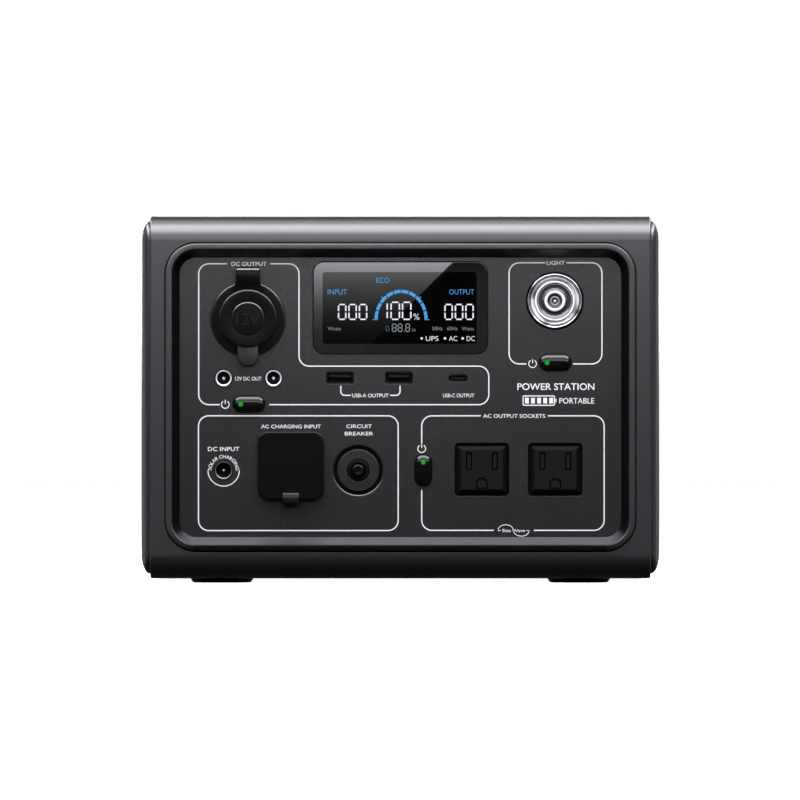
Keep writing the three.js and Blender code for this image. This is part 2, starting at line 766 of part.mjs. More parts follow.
const DECK = { size: [224, 110], y: 28, from: 80, thick: 1.6 };
const INVERTER_Z = 86; // underside of the inverter's board
const HEATSINK = { left: -100, right: -10, front: 30, back: 76, base: 4, top: 128 };
const FIN = { count: 9, pitch: 11, thick: 2 };

// A metal deck over the battery carries the inverter's board with its largest parts.
function addInverter() {
  const boardTop = INVERTER_Z + BOARD_THICK;
  const onBoard = boardTop + 0.4;
  const deck = block(DECK.size, 4, DECK.from, DECK.from + DECK.thick, { at: [0, DECK.y] });
  piece("deck_plate", deck, MATERIAL.aluminium);
  piece("inverter_board", box(-108, 92, -20, 80, INVERTER_Z, boardTop), MATERIAL.board);

  const { left, right, front: near, back, base, top } = HEATSINK;
  const fins = Array.from({ length: FIN.count }, (_, i) => {
    const x = left + i * FIN.pitch;
    return box(x, x + FIN.thick, near, back, onBoard + base - 1, top);
  });
  const heatsink = join(box(left, right, near, back, onBoard, onBoard + base), ...fins);
  piece("inverter_heatsink", heatsink, MATERIAL.aluminium);

  const winding = block([34, 52], 8, onBoard + 5, onBoard + 31, { at: [33, 45] });
  const core = box(10, 56, 25, 65, onBoard, onBoard + 36);
  piece("transformer", join(core, winding), MATERIAL.ferrite);
  const can = rod(12.5, onBoard, onBoard + 40, 20);
  piece("bulk_capacitor", can, MATERIAL.gloss, station, [-60, 0]);
}

const FAN = { side: 60, bore: 28, hub: 12.5, axle: 1.5, at: [24, 30], from: -23, thick: 15 };
const VANE = { count: 7, thick: 1.4, width: 11, pitch: 0.6, clear: 1.2 };

// The fan blows out through the right cover's vents.
function addFan() {
  const { side, bore, hub, axle, at, from, thick } = FAN;
  const to = from + thick;
  const rotorBack = from + 3;
  const arms = [0, 1, 2].map((i) =>
    box(0, bore + 1, -2, 2, from, from + 2).rotateZ(((2 * i + 0.5) * Math.PI) / 3),
  );
  const ring = cut(block([side, side], 4, from, to), rod(bore, from - 1, to + 1, 28));
  const motor = rod(hub, from, from + 2, 20);
  const axleHole = rod(axle + GAP, from - 1, from + 3, 12);
  piece("fan_frame", cut(join(ring, motor, ...arms), axleHole), MATERIAL.blackPlastic, rightSide, at);

  const vanes = Array.from({ length: VANE.count }, (_, i) =>
    box(hub - 1, bore - VANE.clear, -VANE.thick / 2, VANE.thick / 2, -VANE.width / 2, VANE.width / 2)
      .rotateX(VANE.pitch)
      .rotateZ((i * 2 * Math.PI) / VANE.count)
      .translate(0, 0, (rotorBack + to) / 2 - 0.4),
  );
  const spindle = rod(axle, from + 0.5, rotorBack + 1, 12);
  const rotor = join(rod(hub, rotorBack, to - 1, 20), spindle, ...vanes);
  piece("fan_rotor", rotor, MATERIAL.blackPlastic, rightSide, at);
}

// ---------------------------------------------------------------- assembly

addSleeve();
piece("right_side_cover", sideCover(1), MATERIAL.cover, rightSide);
piece("left_side_cover", sideCover(-1), MATERIAL.cover, leftSide);
addFeet();
addHandle();
addTray();
addBezel();
addPanel();
addDisplay();
addLamp();
addButton("dc", AT.dcButton, 0);
addButton("light", AT.lightButton, 0);
addButton("ac", AT.acButton, -Math.PI / 2);
addCarSocket();
addSockets();
addInlet();
addBreaker();
addOutlets();
addControlBoard();
addBattery();
addInverter();
addFan();

export default station;
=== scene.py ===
"""The looks of the portable power station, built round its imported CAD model."""

import math

import bmesh
import bpy
from mathutils import Matrix, Vector


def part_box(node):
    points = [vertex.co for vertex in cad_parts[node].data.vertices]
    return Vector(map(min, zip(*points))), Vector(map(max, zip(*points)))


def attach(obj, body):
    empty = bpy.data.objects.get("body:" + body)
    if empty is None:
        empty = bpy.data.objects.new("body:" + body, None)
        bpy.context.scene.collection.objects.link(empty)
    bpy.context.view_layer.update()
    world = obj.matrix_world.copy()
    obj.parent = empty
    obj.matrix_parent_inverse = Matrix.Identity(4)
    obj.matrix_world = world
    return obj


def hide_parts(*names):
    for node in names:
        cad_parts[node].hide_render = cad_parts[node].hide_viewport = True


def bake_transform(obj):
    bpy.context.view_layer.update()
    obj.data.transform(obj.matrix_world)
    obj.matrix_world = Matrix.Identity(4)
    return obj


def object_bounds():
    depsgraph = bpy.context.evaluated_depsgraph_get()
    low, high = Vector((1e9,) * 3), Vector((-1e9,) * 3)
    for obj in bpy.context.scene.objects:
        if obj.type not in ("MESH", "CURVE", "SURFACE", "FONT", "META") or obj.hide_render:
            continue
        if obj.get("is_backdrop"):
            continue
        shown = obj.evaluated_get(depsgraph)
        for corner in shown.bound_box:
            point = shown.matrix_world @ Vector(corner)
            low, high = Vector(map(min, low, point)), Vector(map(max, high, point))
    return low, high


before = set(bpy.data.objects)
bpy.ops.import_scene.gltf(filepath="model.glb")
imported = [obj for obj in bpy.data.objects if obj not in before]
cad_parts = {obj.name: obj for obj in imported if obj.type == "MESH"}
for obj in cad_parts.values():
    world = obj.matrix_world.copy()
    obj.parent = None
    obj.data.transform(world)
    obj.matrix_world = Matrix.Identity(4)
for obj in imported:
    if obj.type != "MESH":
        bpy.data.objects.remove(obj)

CAD_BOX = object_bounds()
MM = 0.001
WORLD = Matrix.Scale(MM, 4)

# ------------ places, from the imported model


def box_mm(node):
    low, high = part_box(node)
    return low / MM, high / MM


def centre_mm(node):
    low, high = box_mm(node)
    return (low + high) / 2


PANEL_FACE = box_mm("front_panel")[0].y
PANEL_MIDDLE = centre_mm("front_panel").z
SLEEVE_LOW, SLEEVE_HIGH = box_mm("housing_sleeve")
SLEEVE_SIZE = SLEEVE_HIGH - SLEEVE_LOW


def proud(node):
    """How far a node stands out of the panel's face."""
    return PANEL_FACE - box_mm(node)[0].y


def front(x, z):
    """Millimetres on the panel: x right, y up and z out of its face, with the origin at that place."""
    axes = Matrix(((1, 0, 0), (0, 0, -1), (0, 1, 0))).to_4x4()
    return WORLD @ Matrix.Translation((x, PANEL_FACE, z)) @ axes


def front_at(node):
    middle = centre_mm(node)
    return front(middle.x, middle.z)


def on_panel(x=0.0, y=0.0):
    """A place given from the panel's centre."""
    return front(x, PANEL_MIDDLE + y)


def side(sign, x=SLEEVE_HIGH.x):
    """Millimetres on an end: x right as that end is seen, y up and z out of it, from that far along."""
    axes = Matrix(((0, 0, sign), (sign, 0, 0), (0, 1, 0))).to_4x4()
    middle = centre_mm("housing_sleeve")
    return WORLD @ Matrix.Translation((sign * x, middle.y, middle.z)) @ axes


# ------------ outlines


def rounded_rect(width, height, radius, steps=10, at=(0.0, 0.0)):
    """Points anticlockwise round a rectangle with round corners."""
    radius = max(radius, 0.02)
    right, top = width / 2 - radius, height / 2 - radius
    corners = ((right, top), (-right, top), (-right, -top), (right, -top))
    points = []
    for quarter, (cx, cy) in enumerate(corners):
        for i in range(steps + 1):
            angle = (quarter + i / steps) * math.pi / 2
            points.append((at[0] + cx + radius * math.cos(angle), at[1] + cy + radius * math.sin(angle)))
    return points


def circle(radius, steps=64, at=(0.0, 0.0)):
    angles = (i * math.tau / steps for i in range(steps))
    return [(at[0] + radius * math.cos(a), at[1] + radius * math.sin(a)) for a in angles]


def rounded_path(points, closed=True, steps=8):
    """Points are (x, y, radius), and each corner is turned with its own radius."""
    result = []
    count = len(points)
    for i, (x, y, radius) in enumerate(points):
        here = Vector((x, y))
        if not closed and i in (0, count - 1) or radius <= 0:
            result.append((x, y))
            continue
        before = (Vector(points[i - 1][:2]) - here).normalized()
        after = (Vector(points[(i + 1) % count][:2]) - here).normalized()
        half = before.angle(after) / 2
        reach = radius / math.tan(half)
        centre = here + (before + after).normalized() * (radius / math.sin(half))
        first, last = here + before * reach - centre, here + after * reach - centre
        turn = first.angle_signed(last)
        for k in range(steps + 1):
            result.append(tuple(centre + Matrix.Rotation(-turn * k / steps, 2) @ first))
    return result


def arc(centre, radius, start, end, steps, tall=None):
    """Points on an arc or, with another height, on an ellipse's. Angles are in degrees."""
    tall = tall or radius
    angles = [math.radians(start + (end - start) * i / steps) for i in range(steps + 1)]
    return [(centre[0] + radius * math.cos(a), centre[1] + tall * math.sin(a)) for a in angles]


def rim_levels(top, radius, steps=5, rise=None):
    """Levels that round an edge over, ending flat at the top. The round may be taller than it is wide."""
    rise = rise or radius
    angles = [math.pi / 2 * i / steps for i in range(steps + 1)]
    return [(top - rise * (1 - math.sin(a)), radius * (1 - math.cos(a))) for a in angles]


# ------------ mesh makers


def put(name, data):
    """A new object in the scene."""
    thing = bpy.data.objects.new(name, data)
    bpy.context.scene.collection.objects.link(thing)
    return thing


def piece_from(bm, name, place=Matrix()):
    mesh = bpy.data.meshes.new(name)
    bm.to_mesh(mesh)
    bm.free()
    mesh.transform(place)
    return put(name, mesh)


def smooth(piece, angle):
    piece.data.shade_smooth()
    piece.data.set_sharp_from_angle(angle=math.radians(angle))
    return piece


def skin(bm, rows, closed):
    """Faces between neighbouring rows of vertices. A row may be a single point, and open ends are capped."""
    following = rows[1:] + rows[:1] if closed else rows[1:]
    for lower, upper in zip(rows, following):
        for i in range(max(len(lower), len(upper))):
            around = ((lower, i), (lower, i + 1), (upper, i + 1), (upper, i))
            corners = list(dict.fromkeys(row[k % len(row)] for row, k in around))
            if len(corners) > 2:
                bm.faces.new(corners)
    for row in () if closed else (rows[0], rows[-1]):
        if len(row) > 2:
            bm.faces.new(row)


def finish_mesh(bm, name, place, angle):
    bmesh.ops.remove_doubles(bm, verts=bm.verts, dist=1e-5)
    bmesh.ops.recalc_face_normals(bm, faces=bm.faces)
    return smooth(piece_from(bm, name, place), angle)


def loft(name, rings, place=WORLD, closed=False, angle=35):
    """Skins rings of (x, y, z) points that all have the same number of points."""
    bm = bmesh.new()
    skin(bm, [[bm.verts.new(point) for point in ring] for ring in rings], closed)
    return finish_mesh(bm, name, place, angle)


def grown(size, radius, grow, steps=10, at=(0.0, 0.0)):
    """A rounded rectangle, grown by that much all round."""
    return rounded_rect(size[0] + 2 * grow, size[1] + 2 * grow, radius + grow, steps, at)


def stack(name, outline_at, levels, place=WORLD, closed=False, angle=35):
    """Takes a flat outline through levels of (z, grow). outline_at(grow) gives it."""
    return loft(name, [[(x, y, z) for x, y in outline_at(grow)] for z, grow in levels], place, closed, angle)


def pad(name, size, radius, levels, place=WORLD, at=(0.0, 0.0), steps=10, closed=False, angle=35):
    """A rounded rectangle taken through levels of (z, inset)."""
    return stack(name, lambda inset: grown(size, radius, -inset, steps, at), levels, place, closed, angle)


def lathe(name, profile, place=WORLD, steps=64, closed=False, angle=35, at=(0.0, 0.0)):
    """Turns (radius, z) points about the local z axis; a profile that isn't closed starts and ends on it."""
    bm = bmesh.new()
    rows = []
    for radius, z in profile:
        outline = [at] if radius < 1e-6 else circle(radius, steps, at)
        rows.append([bm.verts.new((x, y, z)) for x, y in outline])
    skin(bm, rows, closed)
    return finish_mesh(bm, name, place, angle)


def applied(piece):
    """A piece's mesh with its modifiers taken into it."""
    evaluated = piece.evaluated_get(bpy.context.evaluated_depsgraph_get())
    return bpy.data.meshes.new_from_object(evaluated)


def carve(piece, *cutters, union=False, angle=35):
    for cutter in cutters:
        step = piece.modifiers.new("cut", "BOOLEAN")
        step.operation = "UNION" if union else "DIFFERENCE"
        step.solver = "EXACT"
        step.object = cutter
    mesh = applied(piece)
    piece.modifiers.clear()
    piece.data = mesh
    for cutter in cutters:
        bpy.data.objects.remove(cutter)
    return smooth(piece, angle)


def even_shading(piece):
    """Lets the large flat faces set the normals, so that the small bevels beside them shade cleanly."""
    step = piece.modifiers.new("even shading", "WEIGHTED_NORMAL")
    step.mode = "FACE_AREA"
    step.weight = 90
    step.keep_sharp = True
    return piece


def flared_hole(outline_at, depth, top, flare, place=WORLD):
    """A cutter whose mouth widens in a quarter round at the surface."""
    levels = [(-depth, 0.0), *rim_levels(top, flare, 4), (top + 0.6, flare)]
    return stack("cutter", outline_at, levels, place)


def slot_hole(size, radius, depth, top, flare, place, steps, at=(0.0, 0.0)):
    """A flared hole that is a rounded rectangle."""
    return flared_hole(lambda grow: grown(size, radius, grow, steps, at), depth, top, flare, place)


def loop(points):
    return [*points, points[0]]


def ribbon(bm, points, width, low, high):
    """A flat raised strip along points, with square ends unless it ends where it starts."""
    closed = points[0] == points[-1]
    points = points[:-1] if closed else points
    count = len(points)
    rows = []
    for i, (x, y) in enumerate(points):
        here = Vector((x, y))
        ahead = Vector(points[(i + 1) % count]) - here if closed or i + 1 < count else None
        behind = here - Vector(points[i - 1]) if closed or i > 0 else None
        ways = [step.normalized() for step in (ahead, behind) if step is not None and step.length > 1e-6]
        along = sum(ways, Vector((0, 0))).normalized()
        stretch = 1 / max(0.5, along.dot(ways[0]))
        edge = Vector((-along.y, along.x)) * (width / 2 * stretch)
        corners = ((here - edge, low), (here + edge, low), (here + edge, high), (here - edge, high))
        rows.append([bm.verts.new((*p, z)) for p, z in corners])
    skin(bm, rows, closed)


def strips(name, paths, width, place, low, high):
    """Several ribbons as one piece."""
    bm = bmesh.new()
    for points in paths:
        ribbon(bm, points, width, low, high)
    bmesh.ops.recalc_face_normals(bm, faces=bm.faces)
    return piece_from(bm, name, place)


CAPITAL = 0.729  # height of the built-in font's capitals, for a size of 1


def lettering(name, words, height, place, width, low=0.0, thick=0.04, bold=0.012):
    """Generic lettering as a thin mesh, with capitals of that height, drawn out to that width."""
    data = bpy.data.curves.new(name, "FONT")
    data.body = words
    data.align_x = "CENTER"
    data.align_y = "BOTTOM_BASELINE"
    data.size = height / CAPITAL
    data.extrude = thick / 2
    data.offset = bold
    data.resolution_u = 4
    text = put(name + ".text", data)
    mesh = applied(text)
    bpy.data.objects.remove(text)
    across = [vertex.co.x for vertex in mesh.vertices]
    left, right = min(across), max(across)
    stretch = Matrix.Diagonal((width / (right - left), 1, 1, 1))
    fit = stretch @ Matrix.Translation((-(left + right) / 2, -height / 2, 0))
    mesh.transform(place @ Matrix.Translation((0, 0, low + thick / 2)) @ fit)
    mesh.name = name
    return put(name, mesh)


def curved_lettering(words, height, radius, span, place):
    """Lettering bent over the top of a circle, through that many degrees."""
    piece = lettering("word", words, height, Matrix(), radius * math.radians(span))
    for vertex in piece.data.vertices:
        angle = math.pi / 2 - vertex.co.x / radius
        reach = radius + vertex.co.y + height / 2
        vertex.co.x, vertex.co.y = reach * math.cos(angle), reach * math.sin(angle)
    piece.data.transform(place)
    return piece


def join(name, pieces):
    """Merges pieces of one material into one mesh."""
    bm = bmesh.new()
    for piece in pieces:
        bm.from_mesh(piece.data)
        bpy.data.objects.remove(piece)
    return piece_from(bm, name)


# ------------ materials


class Nodes:
    """A material's node tree, with short ways to add and link nodes. In names, _ stands for a space."""

    def __init__(self, name, color, roughness, metallic=0.0, **shader):
        self.material = bpy.data.materials.new(name)
        self.material.use_nodes = True
        self.tree = self.material.node_tree
        self.shader = self.tree.nodes["Principled BSDF"]
        self.set(self.shader, Base_Color=(*color, 1), Roughness=roughness, Metallic=metallic, **shader)
        self.material.diffuse_color = (*color, 1)
        self.place = self.add("ShaderNodeTexCoord").outputs["Object"]

    def add(self, kind, **values):
        node = self.tree.nodes.new(kind)
        for key, value in values.items():
            setattr(node, key, value)
        return node

    def set(self, node, **values):
        for socket, value in values.items():
            node.inputs[socket.replace("_", " ")].default_value = value

    def link(self, source, target):
        self.tree.links.new(source, target)

    def noise(self, scale, detail=3.0, stretch=None):
        node = self.add("ShaderNodeTexNoise")
        self.set(node, Scale=scale, Detail=detail, Roughness=0.55)
        place = self.place
        if stretch:
            mapping = self.add("ShaderNodeMapping")
            self.set(mapping, Scale=stretch)
            self.link(place, mapping.inputs["Vector"])
            place = mapping.outputs["Vector"]
        self.link(place, node.inputs["Vector"])
        return node.outputs["Fac"]

    def cells(self, scale):
        node = self.add("ShaderNodeTexVoronoi", feature="SMOOTH_F1")
        self.set(node, Scale=scale)
        self.link(self.place, node.inputs["Vector"])
        return node.outputs["Distance"]

    def between(self, source, low, high, start=0.3, end=0.7):
        node = self.add("ShaderNodeMapRange")
        self.set(node, From_Min=start, From_Max=end, To_Min=low, To_Max=high)
        self.link(source, node.inputs["Value"])
        return node.outputs["Result"]

    def tint(self, source, first, second):
        node = self.add("ShaderNodeMix", data_type="RGBA")
        self.set(node, A=(*first, 1), B=(*second, 1))
        self.link(source, node.inputs["Factor"])
        self.link(node.outputs["Result"], self.shader.inputs["Base Color"])

    def bump(self, source, strength, distance):
        node = self.add("ShaderNodeBump")
        self.set(node, Strength=strength, Distance=distance)
        self.link(source, node.inputs["Height"])
        normal = self.shader.inputs["Normal"]
        if normal.links:
            self.link(normal.links[0].from_socket, node.inputs["Normal"])
        self.link(node.outputs["Normal"], normal)

    def rough(self, source, low, high):
        self.link(self.between(source, low, high), self.shader.inputs["Roughness"])


def shade(color, factor):
    return tuple(c * factor for c in color)


def moulded(name, color, roughness, grain=2600.0, depth=0.00002, spread=0.08, specular=0.5):
    """Moulded plastic with a spark-eroded grain, uneven gloss and faint mottling."""
    nodes = Nodes(name, color, roughness, Specular_IOR_Level=specular)
    nodes.tint(nodes.noise(38.0, 4.0), shade(color, 0.92), shade(color, 1.08))
    nodes.rough(nodes.noise(90.0, 5.0), roughness - spread / 2, roughness + spread / 2)
    nodes.bump(nodes.cells(grain), 0.5, depth)
    nodes.bump(nodes.noise(grain * 2.2, 2.0), 0.35, depth / 2)
    return nodes.material


def fine(name, color, roughness, specular):
    """Plastic with the finer grain of small moulded parts."""
    return moulded(name, color, roughness, grain=3600.0, spread=0.02, specular=specular)


def polished(name, color, roughness, specular=0.5):
    """Polished plastic with faint waviness and finger smears in its gloss."""
    nodes = Nodes(name, color, roughness, Specular_IOR_Level=specular)
    nodes.tint(nodes.noise(60.0), shade(color, 0.9), shade(color, 1.1))
    nodes.rough(nodes.noise(55.0, 4.0, stretch=(1.0, 1.0, 2.5)), roughness * 0.8, roughness * 1.5)
    nodes.bump(nodes.noise(160.0, 2.0), 0.04, 0.00002)
    return nodes.material


def rubbery(name, color, roughness, specular):
    """Soft rubber: a fine matt grain with dusty patches."""
    nodes = Nodes(name, color, roughness, Specular_IOR_Level=specular)
    nodes.tint(nodes.noise(420.0, 5.0), shade(color, 0.85), shade(color, 1.25))
    nodes.rough(nodes.noise(700.0, 3.0), roughness - 0.015, roughness + 0.02)
    nodes.bump(nodes.noise(5200.0, 3.0), 0.3, 0.00002)
    return nodes.material


def metal(name, color, roughness, streaks=0.1):
    """Rolled or plated metal, with drawn-out streaks."""
    drawn_out = (1.0, 30.0, 1.0)
    nodes = Nodes(name, color, roughness, 1.0)
    nodes.tint(nodes.noise(300.0, 4.0), shade(color, 0.88), color)
    nodes.rough(nodes.noise(400.0, 4.0, stretch=drawn_out), roughness * 0.7, roughness * 1.4)
    nodes.bump(nodes.noise(1800.0, 3.0, stretch=drawn_out), streaks, 0.00002)
    return nodes.material


def glowing(name, color, strength, base=(0.02, 0.02, 0.02)):
    glow = {"Emission_Color": (*color, 1), "Emission_Strength": strength}
    nodes = Nodes(name, base, 0.12, Specular_IOR_Level=0.1, **glow)
    nodes.rough(nodes.noise(150.0), 0.1, 0.16)
    return nodes.material


def printed(name, color, glow):
    """Screen-printed ink: a little uneven, and slightly duller than the plastic under it. It also glows
    faintly: painted light that keeps it bright in the shade under the bezel's lip.
    """
    nodes = Nodes(name, color, 0.5, Emission_Color=(1, 1, 1, 1), Emission_Strength=glow)
    nodes.tint(nodes.noise(900.0, 4.0), shade(color, 0.86), color)
    nodes.bump(nodes.noise(4000.0), 0.2, 0.00001)
    return nodes.material


def streaky(name, dark, light, roughness, metallic=0.0):
    """Painted reflections: soft light and dark streaks, as of a bowl seen through its moulded lens."""
    nodes = Nodes(name, light, roughness, metallic)
    streaks = nodes.noise(85.0, 2.0, stretch=(1.0, 1.0, 1.7))
    nodes.tint(nodes.between(streaks, 0.0, 1.0, 0.36, 0.62), dark, light)
    nodes.rough(nodes.noise(120.0), roughness * 0.8, roughness * 1.4)
    return nodes.material


def circuit_board(name):
    """Green solder mask over a faint pattern of copper tracks."""
    nodes = Nodes(name, (0.015, 0.09, 0.035), 0.4)
    brick = nodes.add("ShaderNodeTexBrick")
    nodes.set(brick, Scale=120.0, Mortar_Size=0.06)
    nodes.link(nodes.place, brick.inputs["Vector"])
    nodes.tint(brick.outputs["Fac"], (0.013, 0.075, 0.03), (0.03, 0.15, 0.06))
    nodes.rough(nodes.noise(300.0), 0.32, 0.48)
    nodes.bump(brick.outputs["Fac"], 0.3, 0.00003)
    return nodes.material


SHELL_COLOR = (0.0049, 0.0046, 0.0056)
SHELL = moulded("shell plastic", SHELL_COLOR, 0.34, spread=0.02)
# The shell's plastic, darker and duller step by step: painted shade for the bezel's deep wall and the lower
# side of its lip.
WALL_STEPS = 8
WALL_SHADE_DARKENING, WALL_SHADE_DULLING = 0.75, 0.46
BEZEL_WALL_SHADES = [
    moulded(
        f"bezel wall shade {step}", shade(SHELL_COLOR, 1 - WALL_SHADE_DARKENING * step / WALL_STEPS), 0.34,
        spread=0.02, specular=0.5 - WALL_SHADE_DULLING * step / WALL_STEPS,
    )
    for step in range(1, WALL_STEPS + 1)
]
COVER = moulded("cover plastic", (0.0049, 0.0046, 0.0054), 0.31, spread=0.02)
PANEL = moulded("panel plastic", (0.0046, 0.0044, 0.005), 0.27, grain=3400.0, depth=0.00001, spread=0.014)
DARK_GREY = moulded("dark grey plastic", (0.006, 0.006, 0.0062), 0.36, grain=3600.0, specular=0.25)
BLACK = fine("black plastic", (0.0018, 0.0018, 0.002), 0.3, 0.2)
SOCKET = fine("socket plastic", (0.0043, 0.0042, 0.0043), 0.34, 0.012)
# A darker copy of the socket plastic: painted shade for the outlets' bevels.
SOCKET_EDGE_SHADE = fine("socket edge shade", (0.0019, 0.0019, 0.002), 0.34, 0.015)
SHUTTER = fine("shutter plastic", (0.0048, 0.0047, 0.0048), 0.34, 0.025)
# Near-black and dull: painted shade for the outlets' moats, the breaker's groove and its bush.
SHADE_BLACK = fine("painted shade black", (0.0009, 0.0009, 0.001), 0.4, 0.05)
FERRITE = moulded("ferrite", (0.03, 0.03, 0.032), 0.7, grain=1500.0)
GLOSS = polished("gloss black", (0.0011, 0.0011, 0.0013), 0.125, 0.25)
WINDOW = polished("window border", (0.0045, 0.0045, 0.0048), 0.012)
LCD = polished("screen", (0.0003, 0.0003, 0.0004), 0.012, 0.2)
# Light, grey and dark plastics that paint the lamp lens's reflections.
LENS_RING = polished("lens ring", (0.36, 0.36, 0.365), 0.18)
LENS_SLOPE = polished("lens slope", (0.09, 0.09, 0.092), 0.16)
LENS_DARK = polished("lens dark", (0.012, 0.012, 0.0125), 0.2)
CELL_WRAP = polished("cell wrap", (0.012, 0.06, 0.2), 0.3)
RUBBER = rubbery("rubber", (0.0013, 0.0013, 0.0014), 0.24, 0.085)
# A glossier copy of the rubber: painted sheen that brightens the inlet lid tab's highlight.
RUBBER_SHEEN = rubbery("rubber with painted sheen", (0.0013, 0.0013, 0.0014), 0.24, 0.13)
RUBBER_DARK = rubbery("dark rubber", (0.0008, 0.0008, 0.0009), 0.24, 0.06)
# Lighter, glossier rubber: painted highlights on the car socket's rims.
RUBBER_HIGHLIGHT = rubbery("rubber edge highlight", (0.006, 0.006, 0.0062), 0.22, 0.42)
# Light, very glossy rubber: a painted highlight along the strap's fold.
RUBBER_FOLD_HIGHLIGHT = rubbery("rubber fold highlight", (0.008, 0.008, 0.0082), 0.22, 1.0)
# A lighter, glossier copy of the cap's rubber: painted light on the raised 12V letters.
RUBBER_MARK = rubbery("raised rubber mark", (0.0031, 0.0031, 0.0032), 0.24, 0.19)
RUBBER_TAB = rubbery("rubber tab", (0.0048, 0.0047, 0.0051), 0.29, 0.48)
# Its faint glow is painted light.
WHITE_INK = printed("white ink", (0.24, 0.24, 0.245), 0.28)
STEEL = metal("nickel steel", (0.5, 0.5, 0.515), 0.42)
GREY_NICKEL = metal("grey nickel", (0.13, 0.13, 0.132), 0.42)
DARK_NICKEL = metal("dark nickel", (0.02, 0.02, 0.021), 0.4)
ZINC = metal("zinc plate", (0.5, 0.51, 0.53), 0.4, 0.2)
BRASS = metal("brass", (0.6, 0.43, 0.18), 0.35)
ALUMINIUM = metal("aluminium", (0.55, 0.56, 0.58), 0.4, 0.25)
# Painted reflections: light and dark streaks on the lamp's chrome bowl and lens slope.
CHROME = streaky("chrome", (0.06, 0.06, 0.062), (0.3, 0.3, 0.305), 0.2, metallic=1.0)
LENS_STREAK = streaky("lens streaks", (0.05, 0.05, 0.052), (0.34, 0.34, 0.345), 0.16)
LED_GREEN = glowing("green light", (0.012, 0.42, 0.02), 0.7, base=(0.004, 0.01, 0.004))
LED_CHIP = glowing("light chip", (1.0, 0.98, 0.92), 0.3, base=(0.3, 0.29, 0.25))
GLOW_WHITE = glowing("display white", (0.93, 0.95, 1.0), 0.92)
GLOW_GREY = glowing("display grey", (0.5, 0.51, 0.54), 0.42)
GLOW_BLUE = glowing("display blue", (0.02, 0.34, 0.8), 0.84)
GLOW_DIM = glowing("display dim blue", (0.016, 0.2, 0.6), 0.25)
BOARD = circuit_board("circuit board")

# ------------ putting pieces in place


def paint(piece, material):
    piece.data.materials.clear()
    piece.data.materials.append(material)


def add(piece, material, slot, *stands_for, body="station"):
    paint(piece, material)
    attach(piece, body)
    if stands_for:
        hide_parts(*stands_for)
    return piece


def dress(piece, place, materials, choose):
    """Adds materials, and gives each face the one that choose(spot, normal) numbers, seen from the place."""
    for material in materials:
        piece.data.materials.append(material)
    back = place.inverted()
    for face in piece.data.polygons:
        face.material_index = choose(back @ face.center, back.to_3x3() @ face.normal)


def highlight_edges(piece, place, bands):
    """Gives the faces of a turned piece in those bands of (radius, radius, lowest z) a painted highlight of
    lighter, glossier rubber.
    """

    def highlighted(spot, normal):
        return int(any(low < spot.xy.length < high and spot.z > base for low, high, base in bands))

    dress(piece, place, [RUBBER_HIGHLIGHT], highlighted)


# ------------ casing

BEZEL = {"size": (231.6, 151.8), "radius": 15.1}
WALL_RISE, WALL_FALL, LIP_FALL = 55, 30, 65  # degrees of turn that the bezel's painted shade takes to come or go
GROOVE = 0.45  # between the sleeve's window and the bezel
SLEEVE = {"corner": 12.0, "wall": 3.0, "rim": 1.0, "gap": 0.3}
GRIP_ARM = 12.0
WELL_GAP = 1.5  # round the grip in its well
WELL_FLOOR = 164.0


def u_outline(half, front_y, back_y, inner_half, inner_y, radius, grow=0.0):
    """The outline of a U whose two arms point to -Y, grown by that much."""
    outer, inner = half + grow, inner_half - grow
    near, far, notch = front_y - grow, back_y + grow, inner_y - grow
    r_out, r_in = radius + grow, max(radius / 2 - grow, 0.3)
    end = min(radius + grow, (outer - inner) / 2 - 0.05)
    left = [(-outer, near, end), (-inner, near, end), (-inner, notch, r_in)]
    right = [(-x, y, r) for x, y, r in reversed(left)]
    return rounded_path([*left, *right, (outer, far, r_out), (-outer, far, r_out)])


def well_outline(grow):
    """The outline of the opening that the handle lies in, as the sleeve is cut."""
    return u_outline(80.5, -9.0, 73.5, 63.5, 29.0, 6.0, grow)


def build_sleeve():
    half, top, wall = SLEEVE_HIGH.x, SLEEVE_HIGH.z, SLEEVE["wall"]
    right_end = rim_levels(half, SLEEVE["rim"], 6)
    left_end = [(-x, inset) for x, inset in reversed(right_end)]
    mouth = wall - 0.15
    levels = [(-half, mouth), *left_end, *right_end, (half, mouth), (half - 0.15, wall), (0.15 - half, wall)]
    middle = side(1, 0.0)
    shell = pad("casing_sleeve", SLEEVE_SIZE.yz, SLEEVE["corner"], levels, middle, steps=18, closed=True)

    def window(grow):
        return grown(BEZEL["size"], BEZEL["radius"], GROOVE + grow, 18)

    face = PANEL_FACE - SLEEVE_LOW.y
    cutters = [flared_hole(window, 5, face, 0.25, on_panel()), flared_hole(well_outline, 20 - top, top, 0.5)]
    for name in FOOT_NAMES:
        radius = foot_radius(name) + SLEEVE["gap"]
        profile = [(0, -1), (radius, -1), (radius, 3.7), (1.9, 3.7), (1.9, 9), (0, 9)]
        cutters.append(lathe("pocket", profile, WORLD, 40, at=centre_mm(name).xy))
    carve(shell, *cutters)
    add(even_shading(shell), SHELL, "shell_plastic", "housing_sleeve")


def build_tray():
    low, high = box_mm("handle_tray")
    top, gap = high.z, SLEEVE["gap"]
    outside = [(low.z, -gap), (top - 0.4, -gap), (top, -gap - 0.3)]
    inside = [(top, 0.4), (top - 0.4, 0), (WELL_FLOOR + 1.5, 0), (WELL_FLOOR + 0.4, -0.4), (WELL_FLOOR, -1.5)]
    levels = outside + [(z, grow - WELL_GAP) for z, grow in inside]
    tray = stack("handle_well", well_outline, levels)
    add(even_shading(tray), DARK_GREY, "black_plastic", "handle_tray")


